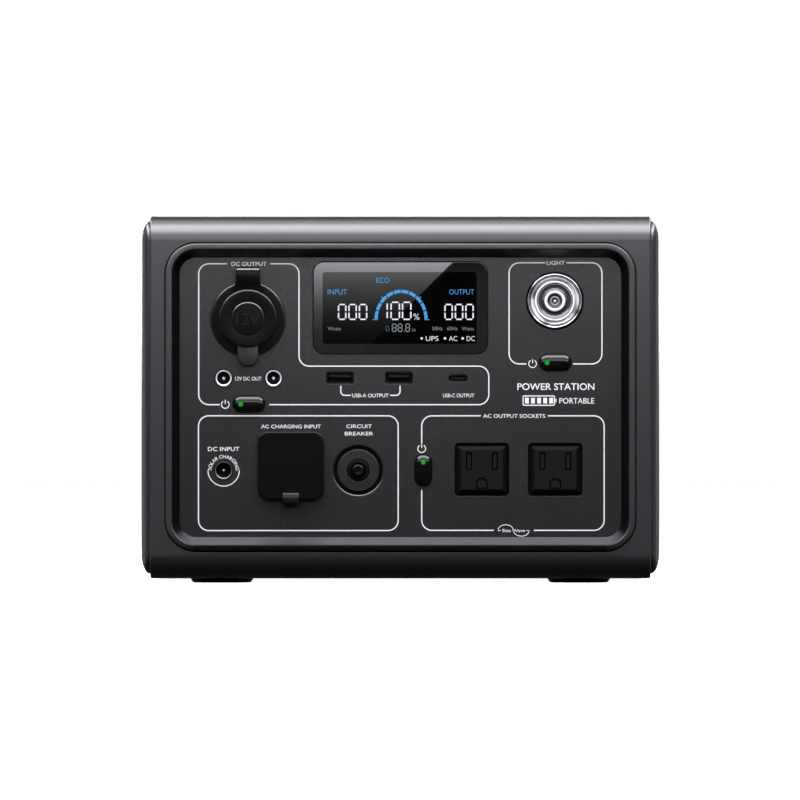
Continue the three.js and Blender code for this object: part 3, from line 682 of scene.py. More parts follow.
def build_grip():
    low, high = box_mm("handle_grip")
    hub = -low.y
    pivot = low.z + hub
    half, top, bottom = high.x, high.z, pivot - 4.0
    upper = [(z, -inset) for z, inset in rim_levels(top, 1.6)]
    lower = [(top + bottom - z, grow) for z, grow in reversed(upper)]

    def outline(grow):
        return u_outline(half, -8.0, high.y, half - GRIP_ARM, high.y - 21.0, 5.0, grow)

    grip = stack("carry_handle", outline, lower + upper)
    trim = pad("trim", (400, 40), 0.1, [(100, 0), (300, 0)], at=(0, -20), steps=2)
    relief_levels = [(bottom - 3, 0), (bottom + 1.6, 0), (bottom + 2.6, 0.5), (bottom + 3, 1.6)]
    relief = pad("relief", (100, 40), 6, relief_levels, at=(0, high.y - 10), steps=8)
    carve(grip, trim, relief)
    reach = GRIP_ARM / 2
    profile = [(0, -reach), (hub - 0.5, -reach), (hub, 0.5 - reach)]
    profile += [(radius, -x) for radius, x in reversed(profile)]
    turn = Matrix(((0, 0, 1), (0, 1, 0), (-1, 0, 0))).to_4x4()
    shifts = [Matrix.Translation((sign * (half - reach), 0, pivot)) for sign in (-1, 1)]
    carve(grip, *[lathe("hub", profile, WORLD @ shift @ turn, 48) for shift in shifts], union=True)
    add(even_shading(grip), SHELL, "shell_plastic", "handle_grip", body="handle")


COVER_SHAPE = {"bulge": 4.3, "round": 9.6, "thick": 2.5, "inset": 2.4, "rim": 4.2, "gap": 0.3}
VENT = {"size": (3.4, 34.0), "radius": 1.69, "columns": 12, "pitch": 8.6, "rows": 2, "row_pitch": 42.0}
VENT_CENTRE = (8.0, 24.0)


def row_of(count, pitch, middle=0.0):
    """Evenly spaced places about a middle."""
    return [middle + (i - (count - 1) / 2) * pitch for i in range(count)]


def build_cover(name, node, sign):
    """A pillow-edged dish: its skin stands off the sleeve's end, and its rim plugs into it."""
    shape = COVER_SHAPE
    rim, gap, bulge, inset = shape["rim"], shape["gap"], shape["bulge"], shape["inset"]
    size = (SLEEVE_SIZE.y - 2 * inset, SLEEVE_SIZE.z - 2 * inset)
    inner = SLEEVE["wall"] + SLEEVE["gap"] - inset
    hollow = inner + shape["thick"]
    ceiling = bulge - shape["thick"]
    levels = [(ceiling, hollow + 1.2), (ceiling - 1.2, hollow), (-rim, hollow), (-rim, inner + 0.3)]
    levels += [(0.3 - rim, inner), (gap, inner), *rim_levels(bulge, shape["round"], 18, bulge - gap)]
    cover = pad(name, size, SLEEVE["corner"] - inset, levels, side(sign), steps=18)
    slots = []
    for y in row_of(VENT["rows"], VENT["row_pitch"], VENT_CENTRE[1]):
        for x in row_of(VENT["columns"], VENT["pitch"], sign * VENT_CENTRE[0]):
            slots.append(slot_hole(VENT["size"], VENT["radius"], 2, bulge, 0.45, side(sign), 6, (x, y)))
    carve(cover, join("slots", slots))
    add(even_shading(cover), COVER, "cover_plastic", node)


def build_bezel():
    size, radius = BEZEL["size"], BEZEL["radius"]
    crest = proud("front_bezel")
    groove, lip, wall = crest - 1.5, 2.75, 6.9
    levels = [(0.3, -2.4), (2.2, -2.4), (2.2, 0.0), (groove, 0.0), (crest - 0.75, 0.04)]
    levels += [(crest - 0.3, 0.14), (crest - 0.08, 0.42), (crest, 1.0), (crest, 2.3)]
    levels += [(crest - 0.03, lip + 0.05), (crest - 0.18, lip + 0.3), (crest - 0.5, lip + 0.5)]
    levels += [(0.9, wall - 0.45), (0.3, wall)]
    bezel = pad("bezel_frame", size, radius, levels, on_panel(), steps=20, closed=True, angle=50)
    add(even_shading(bezel), SHELL, "shell_plastic", "front_bezel")

    def wall_shade_step(spot, normal):
        """Painted shade: the deep wall darkens and dulls away from its lower run, and the lip darkens and
        dulls along its lower side.
        """
        fade = 0.0  # 0 for the shell's own plastic, 1 for the darkest painted shade
        if normal.xy.dot(spot.xy) < 0 and 0.0 < spot.z < crest - 0.55:
            turn = math.degrees(math.atan2(abs(normal.x), normal.y))  # 0 on the lower run, 180 on the upper
            fade = min((turn - 8) / WALL_RISE, (180 - turn) / WALL_FALL)
        elif spot.z > groove - 0.5 and spot.y < 0:
            right, down = abs(spot.x) - size[0] / 2 + radius, -spot.y - size[1] / 2 + radius
            fade = 1 - math.degrees(math.atan2(max(right, 0.0), max(down, 1e-6))) / LIP_FALL
        return round(WALL_STEPS * min(max(fade, 0.0), 1.0))

    dress(bezel, on_panel(), BEZEL_WALL_SHADES, wall_shade_step)


# ------------ front panel

DISPLAY = ((86.1, 45.4), 5.4)  # size, corner radius
KEY = ((15.8, 8.2), 4.08)
KEY_LIGHT = -4.1  # from a key's centre, along it
TYPE_A, TYPE_C, OUTLET = ((13.0, 5.6), 0.6), ((9.2, 3.4), 1.65), (26.4, 25.7)
GAP = 0.25  # round what stands in an opening
# What the panel has openings for: node, the shape in it, and how far the front edge is softened.
OPENINGS = (
    ("display_window", DISPLAY, 0.1),
    ("type_a_port_left", TYPE_A, 0.2),
    ("type_a_port_right", TYPE_A, 0.2),
    ("type_c_port", TYPE_C, 0.2),
    ("ac_outlet_left", (OUTLET, 1.8), 0.1),
    ("ac_outlet_right", (OUTLET, 1.8), 0.1),
    ("ac_inlet", ((27.8, 21.8), 2.0), 0.2),
    ("dc_button", KEY, 0.15),
    ("light_button", KEY, 0.15),
    ("ac_button", (KEY[0][::-1], KEY[1]), 0.15),
)
ROUND_OPENINGS = (
    ("lamp_reflector", 14.0, 0.3),
    ("car_socket_barrel", 14.4, 0.2),
    ("barrel_jack_left", 4.2, 0.2),
    ("barrel_jack_right", 4.2, 0.2),
    ("solar_input_jack", 4.35, 0.2),
    ("breaker_button", 5.3, 0.2),
)


def build_panel():
    low, high = box_mm("front_panel")
    size = high - low
    plate = pad("panel_plate", size.xz, 10, [(-size.y, 0), (0, 0)], on_panel(), steps=12)
    holes = [
        flared_hole(lambda grow: grown(*shape, GAP + grow), 12, 0.0, flare, front_at(node))
        for node, shape, flare in OPENINGS
    ]
    holes += [
        flared_hole(lambda grow: circle(radius + GAP + grow, 56), 12, 0.0, flare, front_at(node))
        for node, radius, flare in ROUND_OPENINGS
    ]
    inner, outer, floor = 10.35, 12.0, -2.3
    profile = [(inner, floor), (outer, floor), (outer, -0.7), (outer + 0.3, -0.25), (outer + 0.85, 0.0)]
    profile += [(outer + 0.85, 1), (inner - 0.4, 1), (inner - 0.4, 0), (inner - 0.12, -0.1), (inner, -0.4)]
    groove = lathe("groove", profile, front_at("breaker_button"), 72, closed=True)
    carve(plate, *holes, groove)
    add(even_shading(plate), PANEL, "panel_plastic", "front_panel")


# ------------ display

# Each stroke of a seven-segment digit, in shares of its width and height.
SEGMENTS = {
    "a": ((0.12, 1.0), (0.88, 1.0)),
    "b": ((1.0, 0.93), (1.0, 0.56)),
    "c": ((1.0, 0.44), (1.0, 0.07)),
    "d": ((0.12, 0.0), (0.88, 0.0)),
    "e": ((0.0, 0.44), (0.0, 0.07)),
    "f": ((0.0, 0.93), (0.0, 0.56)),
    "g": ((0.14, 0.5), (0.86, 0.5)),
}
DIGITS = {"0": "abcdef", "1": "bc", "8": "abcdefg"}
GLOW_LOW, GLOW_HIGH = 0.5, 0.56  # the lit marks, out of the panel's face


def digit_paths(text, left, base, width, height, pitch=0.0):
    """Seven-segment digits, each stroke a short path."""
    paths = []
    for i, digit in enumerate(text):
        x = left + i * pitch
        for key in DIGITS[digit]:
            paths.append([(x + u * width, base + v * height) for u, v in SEGMENTS[key]])
    return paths


def lit_strips(name, paths, width, place):
    return strips(name, paths, width, place, GLOW_LOW, GLOW_HIGH)


def lit_words(place, text, at, height, width, bold=-0.02):
    shifted, thick = place @ Matrix.Translation((*at, 0)), GLOW_HIGH - GLOW_LOW
    return lettering("words", text, height, shifted, width, GLOW_LOW, thick, bold)


def build_display():
    place = front_at("display_window")
    glass = pad("display_cover_glass", *DISPLAY, [(-1.6, 0), *rim_levels(0.5, 0.35, 4)], place, steps=14)
    add(even_shading(glass), WINDOW, "display_glass", "display_window")
    screen = pad("display_screen", (76.0, 35.4), 1.4, [(0.44, 0), (0.52, 0)], place, at=(-0.4, 0.0), steps=6)
    add(screen, LCD, "display_glass")
    build_readings(place)
    build_gauge(place)


def build_readings(place):
    """The lit digits and words on the screen."""
    white = digit_paths("000", -30.5, -5.6, 3.55, 7.3, 5.15) + digit_paths("000", 22.0, -5.6, 3.55, 7.3, 5.15)
    white += digit_paths("1", -10.2, -5.6, 3.7, 8.4) + digit_paths("00", -4.6, -5.6, 4.1, 8.4, 5.65)
    add(lit_strips("display_digits", white, 0.66, place), GLOW_WHITE, "display_light")
    small = digit_paths("88", -4.0, -11.6, 1.9, 3.7, 2.9) + digit_paths("8", 2.6, -11.6, 1.9, 3.7)
    small.append([(2.0, -11.75), (2.0, -11.35)])
    grey = [
        lit_strips("hours", small, 0.44, place),
        lit_words(place, "Watts", (-32.6, -10.1), 1.9, 6.6),
        lit_words(place, "50Hz   60Hz   Watts", (26.0, -10.1), 1.9, 20.6),
        lit_words(place, "H", (6.6, -10.9), 1.7, 1.3),
    ]
    add(join("display_units", grey), GLOW_GREY, "display_light")
    modes = [lit_words(place, "%", (7.9, -4.2), 3.3, 3.0, -0.05)]
    for text, x, width in (("UPS", 15.6, 6.2), ("AC", 26.0, 4.0), ("DC", 34.7, 4.0)):
        modes.append(lit_words(place, text, (x, -15.0), 2.5, width))
        dot = (x - width / 2 - 2.0, -15.0)
        modes.append(pad("dot", (1.2, 1.2), 0.6, [(GLOW_LOW, 0), (GLOW_HIGH, 0)], place, at=dot, steps=4))
    add(join("display_modes", modes), GLOW_WHITE, "display_light")


def build_gauge(place):
    """Ten bars in a half ellipse, with small marks outside them and a little cell below."""
    centre, across, tall, width = (0.35, -5.6), 12.3, 13.8, 1.55
    bar, gap = 18, 1.1  # degrees
    starts = range(180, 0, -bar)
    bars = [arc(centre, across, start - gap, start - bar + gap, 4, tall) for start in starts]

    def beside(angle, out):
        return arc(centre, across + out, angle, angle, 1, tall + out)[0]

    marks = [[beside(angle, width / 2), beside(angle, width / 2 + 0.9)] for angle in (134, 46)]
    for sign in (-1, 1):
        x = centre[0] + sign * (across + width / 2)
        marks.append([(x - sign * 1.5, -5.75), (x + sign * 0.9, -5.75)])
    blue = [
        lit_strips("bars", bars, width, place),
        lit_strips("marks", marks, 0.42, place),
        lit_words(place, "INPUT", (-31.1, 8.0), 2.7, 9.5, -0.03),
        lit_words(place, "OUTPUT", (30.2, 8.0), 2.7, 12.2, -0.03),
        lit_words(place, "ECO", (-8.7, 13.8), 2.7, 6.3, -0.03),
    ]
    add(join("display_gauge", blue), GLOW_BLUE, "display_light")
    corners = ((-7.0, -11.4), (-5.6, -11.4), (-5.6, -9.1), (-7.0, -9.1))
    cell = rounded_path([(x, y, 0.4) for x, y in corners], steps=3)
    add(lit_strips("display_cell", [loop(cell)], 0.32, place), GLOW_DIM, "display_light")


# ------------ lamp


def build_lamp():
    """A bright rim, a sloping bowl and the lens's stepped rings, round a small light chip. Their light and
    dark colours paint the reflections in the lens and bowl.
    """
    place = front_at("lamp_reflector")
    rim = [(11.9, -1.0), (12.1, 0.2), (12.4, 0.8), (12.8, 1.12), (13.2, 1.15), (13.55, 0.8), (13.75, 0.1)]
    bowl = [(14.0, -0.6), (14.0, -3.0), (6.0, -15.4), (4.0, -15.4), (4.0, -13.4), (6.2, -11.0), (8.2, -7.8)]
    reflector = lathe("lamp_reflector_bowl", [*rim, *bowl, (10.4, -4.2)], place, 96, closed=True, angle=60)
    add(reflector, CHROME, "chrome", "lamp_reflector")
    slope = [(11.85, 0.1), (11.4, 0.25), (11.0, -0.1), (10.75, -0.75), (10.1, -0.9), (10.1, -1.8)]
    slope += [(11.85, -1.8)]
    add(lathe("lamp_lens_slope", slope, place, 96, closed=True), LENS_STREAK, "clear_lens")
    for name, middle, half, height, base, material in (
        ("lamp_lens_ring_outer", 9.4, 0.55, 0.7, -0.6, LENS_RING),
        ("lamp_lens_ring_step", 8.35, 0.35, 0.3, -0.9, LENS_SLOPE),
        ("lamp_lens_ring_inner", 4.45, 0.72, 0.55, -0.75, LENS_RING),
        ("lamp_lens_ring_core", 2.0, 0.42, 0.4, -1.1, LENS_SLOPE),
    ):
        profile = arc((middle, base), half, 180, 0, 10, height)
        profile += [(middle + half, base - 0.5), (middle - half, base - 0.5)]
        add(lathe(name, profile, place, 96, closed=True, angle=60), material, "clear_lens")
    deck = [(0.0, -2.9), (1.4, -2.6), (1.4, -1.5), (2.6, -1.5), (3.6, -1.2), (5.3, -1.2), (6.6, -2.0)]
    deck += [(7.9, -1.2), (11.7, -1.9), (11.6, -2.6), (9.0, -5.6), (6.0, -9.0), (3.0, -9.6), (0.0, -9.6)]
    add(lathe("lamp_lens_body", deck, place, 96), LENS_DARK, "clear_lens", "lamp_lens")
    chip = [(0, -17.3), (7.9, -17.3), (7.9, -15.9), (1.9, -15.9), (1.7, -13.4), (0, -13.2)]
    add(lathe("lamp_light_chip", chip, place, 40), LED_CHIP, "circuit_board", "lamp_led_board")
    dome = [(0.0, -2.5), (0.75, -2.5), (0.72, -1.7), (0.5, -1.2), (0.2, -1.0), (0.0, -0.97)]
    add(lathe("lamp_lens_tip", dome, place, 24, angle=60), LENS_RING, "clear_lens")


# ------------ keys


def build_key(kind, turn=0):
    """A pillowed key with a small light in it, turned by that many degrees."""
    node = kind + "_button"
    place = front_at(node) @ Matrix.Rotation(math.radians(turn), 4, "Z")
    top = proud(node)
    levels = [(-4.2, -1.1), (-2.9, -1.1), (-2.9, 0.0), *rim_levels(top, 3.7, 12, top - 0.1)]
    cap = pad(node + "_cap", *KEY, levels, place, steps=14)
    well = [(0, -3), (1.3, -3), (1.3, top - 0.35), (1.6, top + 1), (0, top + 1)]
    carve(cap, lathe("well", well, place, 32, at=(KEY_LIGHT, 0)))
    add(cap, GLOSS, "gloss_black", node, body=kind + "_key")
    profile = [(0, -4), (1.15, -4), (1.15, top - 0.75), (0.9, top - 0.45), (0.5, top - 0.3), (0, top - 0.25)]
    pipe = lathe(node + "_light", profile, place, 32, at=(KEY_LIGHT, 0))
    add(pipe, LED_GREEN, "indicator_green", node + "_light_pipe", body=kind + "_key")


# ------------ sockets and ports


def build_car_socket():
    place = front_at("car_socket_barrel")
    flange = [(10.6, 1.5), (10.9, 1.9), (11.4, 2.0), (17.3, 2.0), (17.9, 1.9), (18.35, 1.6), (18.6, 1.1)]
    tube = [(18.6, 0.25), (14.3, 0.25), (14.3, -40.8), (2.1, -40.8), (2.1, -38.6), (10.2, -38.5)]
    tube += [(10.6, -38.0)]
    barrel = even_shading(lathe("car_socket_tube", [*flange, *tube], place, 96, closed=True))
    add(barrel, RUBBER, "black_plastic", "car_socket_barrel")
    # Painted highlight round the flange's outer edge.
    highlight_edges(barrel, place, [(17.95, 18.45, 1.3)])
    knob = [(0, -1.0), (9.0, -1.0), (9.6, 0.2), (9.8, 2.35), (13.9, 2.35), (14.35, 2.7), (14.4, 4.2)]
    knob += [(14.25, 4.7), (13.9, 5.0), (13.2, 5.1), (8.75, 4.95), (8.45, 4.75), (8.3, 4.75), (8.2, 5.2)]
    knob += [(8.12, 5.45), (7.8, 5.68), (7.4, 5.78), (0, 5.8)]
    cap = even_shading(lathe("car_socket_cap_disc", knob, place, 96))
    add(cap, RUBBER, "rubber", "car_socket_cap", body="socket_cap")
    # Painted highlights on the cap's inner ring and outer edge.
    highlight_edges(cap, place, [(7.85, 8.14, 5.44), (14.0, 14.35, 4.6)])
    tab_levels = [(2.4, 0.4), (2.8, 0), *rim_levels(4.0, 0.4, 4)]
    tab = pad("car_socket_cap_tab", (10.2, 14.0), 5.05, tab_levels, place, at=(0, -16.2), steps=12)
    add(tab, RUBBER_TAB, "rubber", body="socket_cap")
    # The letters' lighter rubber is painted light.
    mark = lettering("car_socket_cap_mark", "12V", 6.0, place, 11.4, low=5.72, thick=0.2, bold=-0.06)
    add(mark, RUBBER_MARK, "rubber", body="socket_cap")
    build_strap(place)


def build_strap(place):
    """The cap's strap comes out of the panel, folds over and lies down on to the cap."""
    thick = 1.7
    # Points on its middle line: up, out, and half its width there.
    line = [(24.5, -1.4, 5.9), (24.6, 1.5, 5.9), (24.6, 2.8, 5.9), (24.35, 3.5, 5.9), (23.9, 3.88, 5.9)]
    line += [(23.2, 4.1, 5.9), (21.5, 4.22, 5.9), (19.0, 4.15, 5.95), (17.4, 4.0, 6.2), (16.2, 3.85, 6.8)]
    line += [(15.2, 3.72, 7.6), (13.6, 3.65, 8.0)]
    rings = []
    for i, (y, z, half) in enumerate(line):
        ahead, behind = line[min(i + 1, len(line) - 1)], line[max(i - 1, 0)]
        along = (Vector(ahead[:2]) - Vector(behind[:2])).normalized()
        section = rounded_rect(2 * half, thick, 0.6, 5)
        rings.append([(x, y - along.y * t, z + along.x * t) for x, t in section])
    strap = loft("car_socket_cap_strap", rings, place, angle=60)
    paint(strap, RUBBER_DARK)
    # The top of the fold gets the painted highlight.
    dress(strap, place, [RUBBER_FOLD_HIGHLIGHT], lambda spot, normal: int(spot.y > 24.1 and spot.z > 3.9))
    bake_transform(strap)


def build_jack(name, node, radius, bore, land, pin, plating=STEEL):
    """A round jack: a black body, a flat bright land round its bore, and a pin."""
    place = front_at(node)
    top = 0.75
    outer = bore + land
    shell = [(bore, top - 0.2), (outer, top - 0.2), (outer, top), (radius - 0.2, top), (radius, top - 0.2)]
    shell += [(radius, -11.9), (0.5, -11.9), (0.5, -9.4), (bore, -9.4)]
    add(lathe(name, shell, place, 64, closed=True), BLACK, "black_plastic", node)
    ring = [(bore - 0.12, -1.4), (bore - 0.12, top - 0.15), (bore + 0.05, top - 0.02), (bore + 0.15, top)]
    ring += [(outer - 0.12, top), (outer - 0.03, top - 0.08), (outer - 0.03, top - 0.17)]
    ring += [(bore + 0.03, top - 0.17), (bore + 0.03, -1.4)]
    add(lathe(name + "_contact_ring", ring, place, 64, closed=True), plating, "zinc_steel")
    spike = [(0, -9.3), (pin, -9.3), (pin, -1.9), (pin * 0.8, -1.5), (pin * 0.45, -1.35), (0, -1.3)]
    add(lathe(name + "_pin", spike, place, 24), STEEL, "zinc_steel")


def build_usb(name, node, shape, wall, depth, tongue, tongue_up, contacts, finish=BLACK):
    """A folded steel shell, with a tongue that carries its contacts."""
    (width, height), radius = shape
    place = front_at(node)
    shell = pad(name, (width, height), radius, [(-depth, 0), (0.05, 0), (0.2, 0.12)], place, steps=8)
    mouth = (width - 2 * wall, height - 2 * wall)
    carve(shell, slot_hole(mouth, radius - wall, depth - 1.5, 0.2, 0.1, place, 8))
    add(shell, DARK_NICKEL, "zinc_steel", node)
    levels = [(1.6 - depth, 0), (-1.0, 0), (-0.8, 0.2)]
    board = pad(name + "_tongue", tongue, 0.15, levels, place, at=(0, tongue_up), steps=3)
    add(board, finish, "black_plastic")
    bar, under = (tongue[0] / contacts * 0.42, 0.12), tongue_up - tongue[1] / 2
    bars = [
        pad("bar", bar, 0.02, [(2 - depth, 0), (-1.6, 0)], place, at=(x, under), steps=2)
        for x in row_of(contacts, tongue[0] / (contacts + 0.5))
    ]
    add(join(name + "_contacts", bars), BRASS, "brass_contact")


def build_finger_tab(place):
    """The lid's finger tab: its face slopes out towards a rounded lower edge."""
    half, corner, top, bottom, under, out, slope, nose = 4.15, 1.3, -13.6, -19.5, 2.4, 5.2, 0.85, 1.1
    steps = 16
    rings = []
    for i in range(steps + 1):
        share = i / steps
        rise = (top - bottom) * share
        lost = max(corner - rise, 0.0)
        width = 2 * (half - corner + math.sqrt(corner**2 - lost**2))
        drop = nose * (1 - math.sqrt(1 - (1 - min(rise / nose, 1.0)) ** 2))
        face = out - slope * share**4 - drop
        middle, tall = (face + under) / 2, face - under
        section = rounded_rect(width, tall, min(0.5, tall / 2.1), 5)
        rings.append([(x, bottom + rise, middle + z) for x, z in section])
    return loft("charging_inlet_lid_tab", rings, place, angle=50)


def build_inlet():
    place = front_at("ac_inlet")
    flange = pad("charging_inlet", (29.6, 30.4), 4.0, [(0.3, 0), *rim_levels(1.5, 0.4, 4)], place)
    body = pad("body", (27.8, 21.8), 2.0, [(-19, 0), (0.9, 0)], place, steps=6)
    carve(flange, body, union=True)
    carve(flange, slot_hole((24.4, 16.8), 2.5, 15, 1.5, 0.4, place, 8))
    add(even_shading(flange), BLACK, "black_plastic", "ac_inlet")
    pin_levels = [(-15.6, 0), (-3.6, 0), (-3.0, 0.6)]
    pins = [pad("pin", (2, 4), 0.2, pin_levels, place, at=at, steps=3) for at in ((-7, -2), (0, 2), (7, -2))]
    add(join("charging_inlet_pins", pins), STEEL, "zinc_steel")
    lid_levels = [(1.85, 0.3), (2.1, 0.0), *rim_levels(4.2, 0.7, 6)]
    lid = pad("charging_inlet_lid", (32.5, 33.4), 5.1, lid_levels, place, steps=14)
    add(even_shading(lid), RUBBER, "rubber", "ac_inlet_cover", body="inlet_cover")
    # The tab's glossier rubber is a painted sheen.
    add(build_finger_tab(place), RUBBER_SHEEN, "rubber", body="inlet_cover")


def build_breaker():
    place = front_at("breaker_button")
    # The bush is near-black and dull: painted shade round the key.
    bush = [(3.45, -0.6), (3.6, 0.2), (4.0, 0.5), (4.7, 0.5), (5.15, 0.35), (5.3, 0.0), (5.3, -8.8)]
    bush += [(3.45, -8.8)]
    add(lathe("breaker_bush", bush, place, 64, closed=True), SHADE_BLACK, "black_plastic")
    # A near-black liner in the groove: painted shade on its walls and floor.
    liner = [(10.37, -0.5), (10.37, -2.28), (11.98, -2.28), (11.98, -0.6), (11.9, -0.6), (11.85, -2.1)]
    liner += [(10.5, -2.1), (10.45, -0.5)]
    add(lathe("breaker_groove_shade", liner, place, 72, closed=True), SHADE_BLACK, "black_plastic")
    can_levels = [(-28, 0), (-9.2, 0), (-8.9, 0.3)]
    can = pad("breaker_can", (14, 30), 1, can_levels, front_at("breaker_body"), steps=6)
    add(can, BLACK, "black_plastic", "breaker_body")
    top = proud("breaker_button")
    knob = [(0, -7.3), (3.0, -7.3), (3.0, top - 1.0), (2.85, top - 0.5), (2.45, top - 0.15)]
    knob += [(1.9, top - 0.05), (1.7, top - 0.12), (0, top - 0.15)]
    key = lathe("breaker_key_cap", knob, place, 48)
    add(key, RUBBER, "black_plastic", "breaker_button", body="breaker_key")


BLADES = [(x, 4.1) for x in (-6.35, 6.35)]
BLADE = (2.9, 8.7)
SHUTTER_DEPTH = 0.75


def build_outlet(name, node):
    place = front_at(node)
    top = proud(node)
    levels = [(-18, 0), (-2.2, 0), (-2.2, 1.3), (0.3, 1.4), (0.45, 1.5), (top - 0.12, 2.9), (top, 3.1)]
    body = pad(name, OUTLET, 1.6, levels, place, steps=6, angle=25)

    def earth(grow):
        half, bottom = 2.85 + grow, -9.5 - grow
        return [*arc((0, -6.9), half, 0, 180, 16), (-half, bottom), (half, bottom)]

    cutters = [slot_hole(BLADE, 0.25, 12, top, 0.08, place, 3, at) for at in BLADES]
    carve(body, *cutters, flared_hole(earth, 12, top, 0.08, place), angle=25)
    add(even_shading(body), SOCKET, "black_plastic", node)
    # Painted shade: the moat round the insert is near-black, and its bevels a darker copy of the socket
    # plastic.
    shade_finishes = [SHADE_BLACK, SOCKET_EDGE_SHADE]
    dress(body, place, shade_finishes, lambda spot, normal: 1 if spot.z < 0.2 else 2 if spot.z < top - 0.2 else 0)
    face = [(-4, 0), (top - SHUTTER_DEPTH, 0), (top - SHUTTER_DEPTH + 0.15, 0.12)]
    shutters = [pad("shutter", (1.8, 7.5), 0.2, face, place, at=at, steps=3) for at in BLADES]
    face = [(-4, -0.5), (top - SHUTTER_DEPTH, -0.5), (top - SHUTTER_DEPTH + 0.15, -0.6)]
    shutters.append(stack("shutter", earth, face, place))
    add(join(name + "_shutters", shutters), SHUTTER, "black_plastic")


# ------------ feet

FOOT_NAMES = ("foot_front_left", "foot_front_right", "foot_rear_left", "foot_rear_right")


def foot_radius(node):
    low, high = box_mm(node)
    return (high.x - low.x) / 2


def build_foot(node):
    radius, at = foot_radius(node), centre_mm(node).xy
    profile = [(4.2, 0.4), (4.5, 0.05), (5.0, 0.0), (radius - 3.0, 0.0)]
    profile += arc((radius - 2.2, 1.6), 1.6, -80, -20, 5)
    profile += [(radius - 0.2, 1.7), (radius, 2.2), (radius, 3.4), (1.95, 3.4), (1.95, 1.85), (4.2, 1.85)]
    add(lathe(node + "_pad", profile, WORLD, 72, closed=True, at=at), RUBBER, "rubber", node)
    screw_node = node.replace("foot_", "foot_screw_")
    head = [(0, 0.95), (1.3, 0.95), (1.55, 0.75), (2.9, 0.65), (3.5, 0.9), (3.6, 1.25), (3.55, 1.5)]
    shank = [(1.6, 1.5), (1.6, 8.0), (1.2, 8.4), (0, 8.5)]
    screw = lathe(screw_node + "_turned", [*head, *shank], WORLD, 32, at=at)
    arms = ((3.6, 0.8), (0.8, 3.6))
    carve(screw, *[pad("arm", size, 0.1, [(0.2, 0), (1.25, 0)], at=at, steps=2) for size in arms])
    add(screw, ZINC, "zinc_steel", screw_node)


# ------------ printed marks

LINE, FINE_LINE, THIN_LINE = 0.56, 0.42, 0.32


def power_mark(x, y, radius=1.9):
    """The power symbol: a ring open at the top, and a bar."""
    opening = 34  # degrees to each side of the top
    ring = arc((x, y), radius, 90 + opening, 450 - opening, 28)
    return [ring, [(x, y + 0.3), (x, y + radius + 0.35)]]


def trace(*points):
    return rounded_path(points, closed=False)


def inked(paths, width):
    return strips("ink", paths, width, on_panel(), 0.0, 0.04)


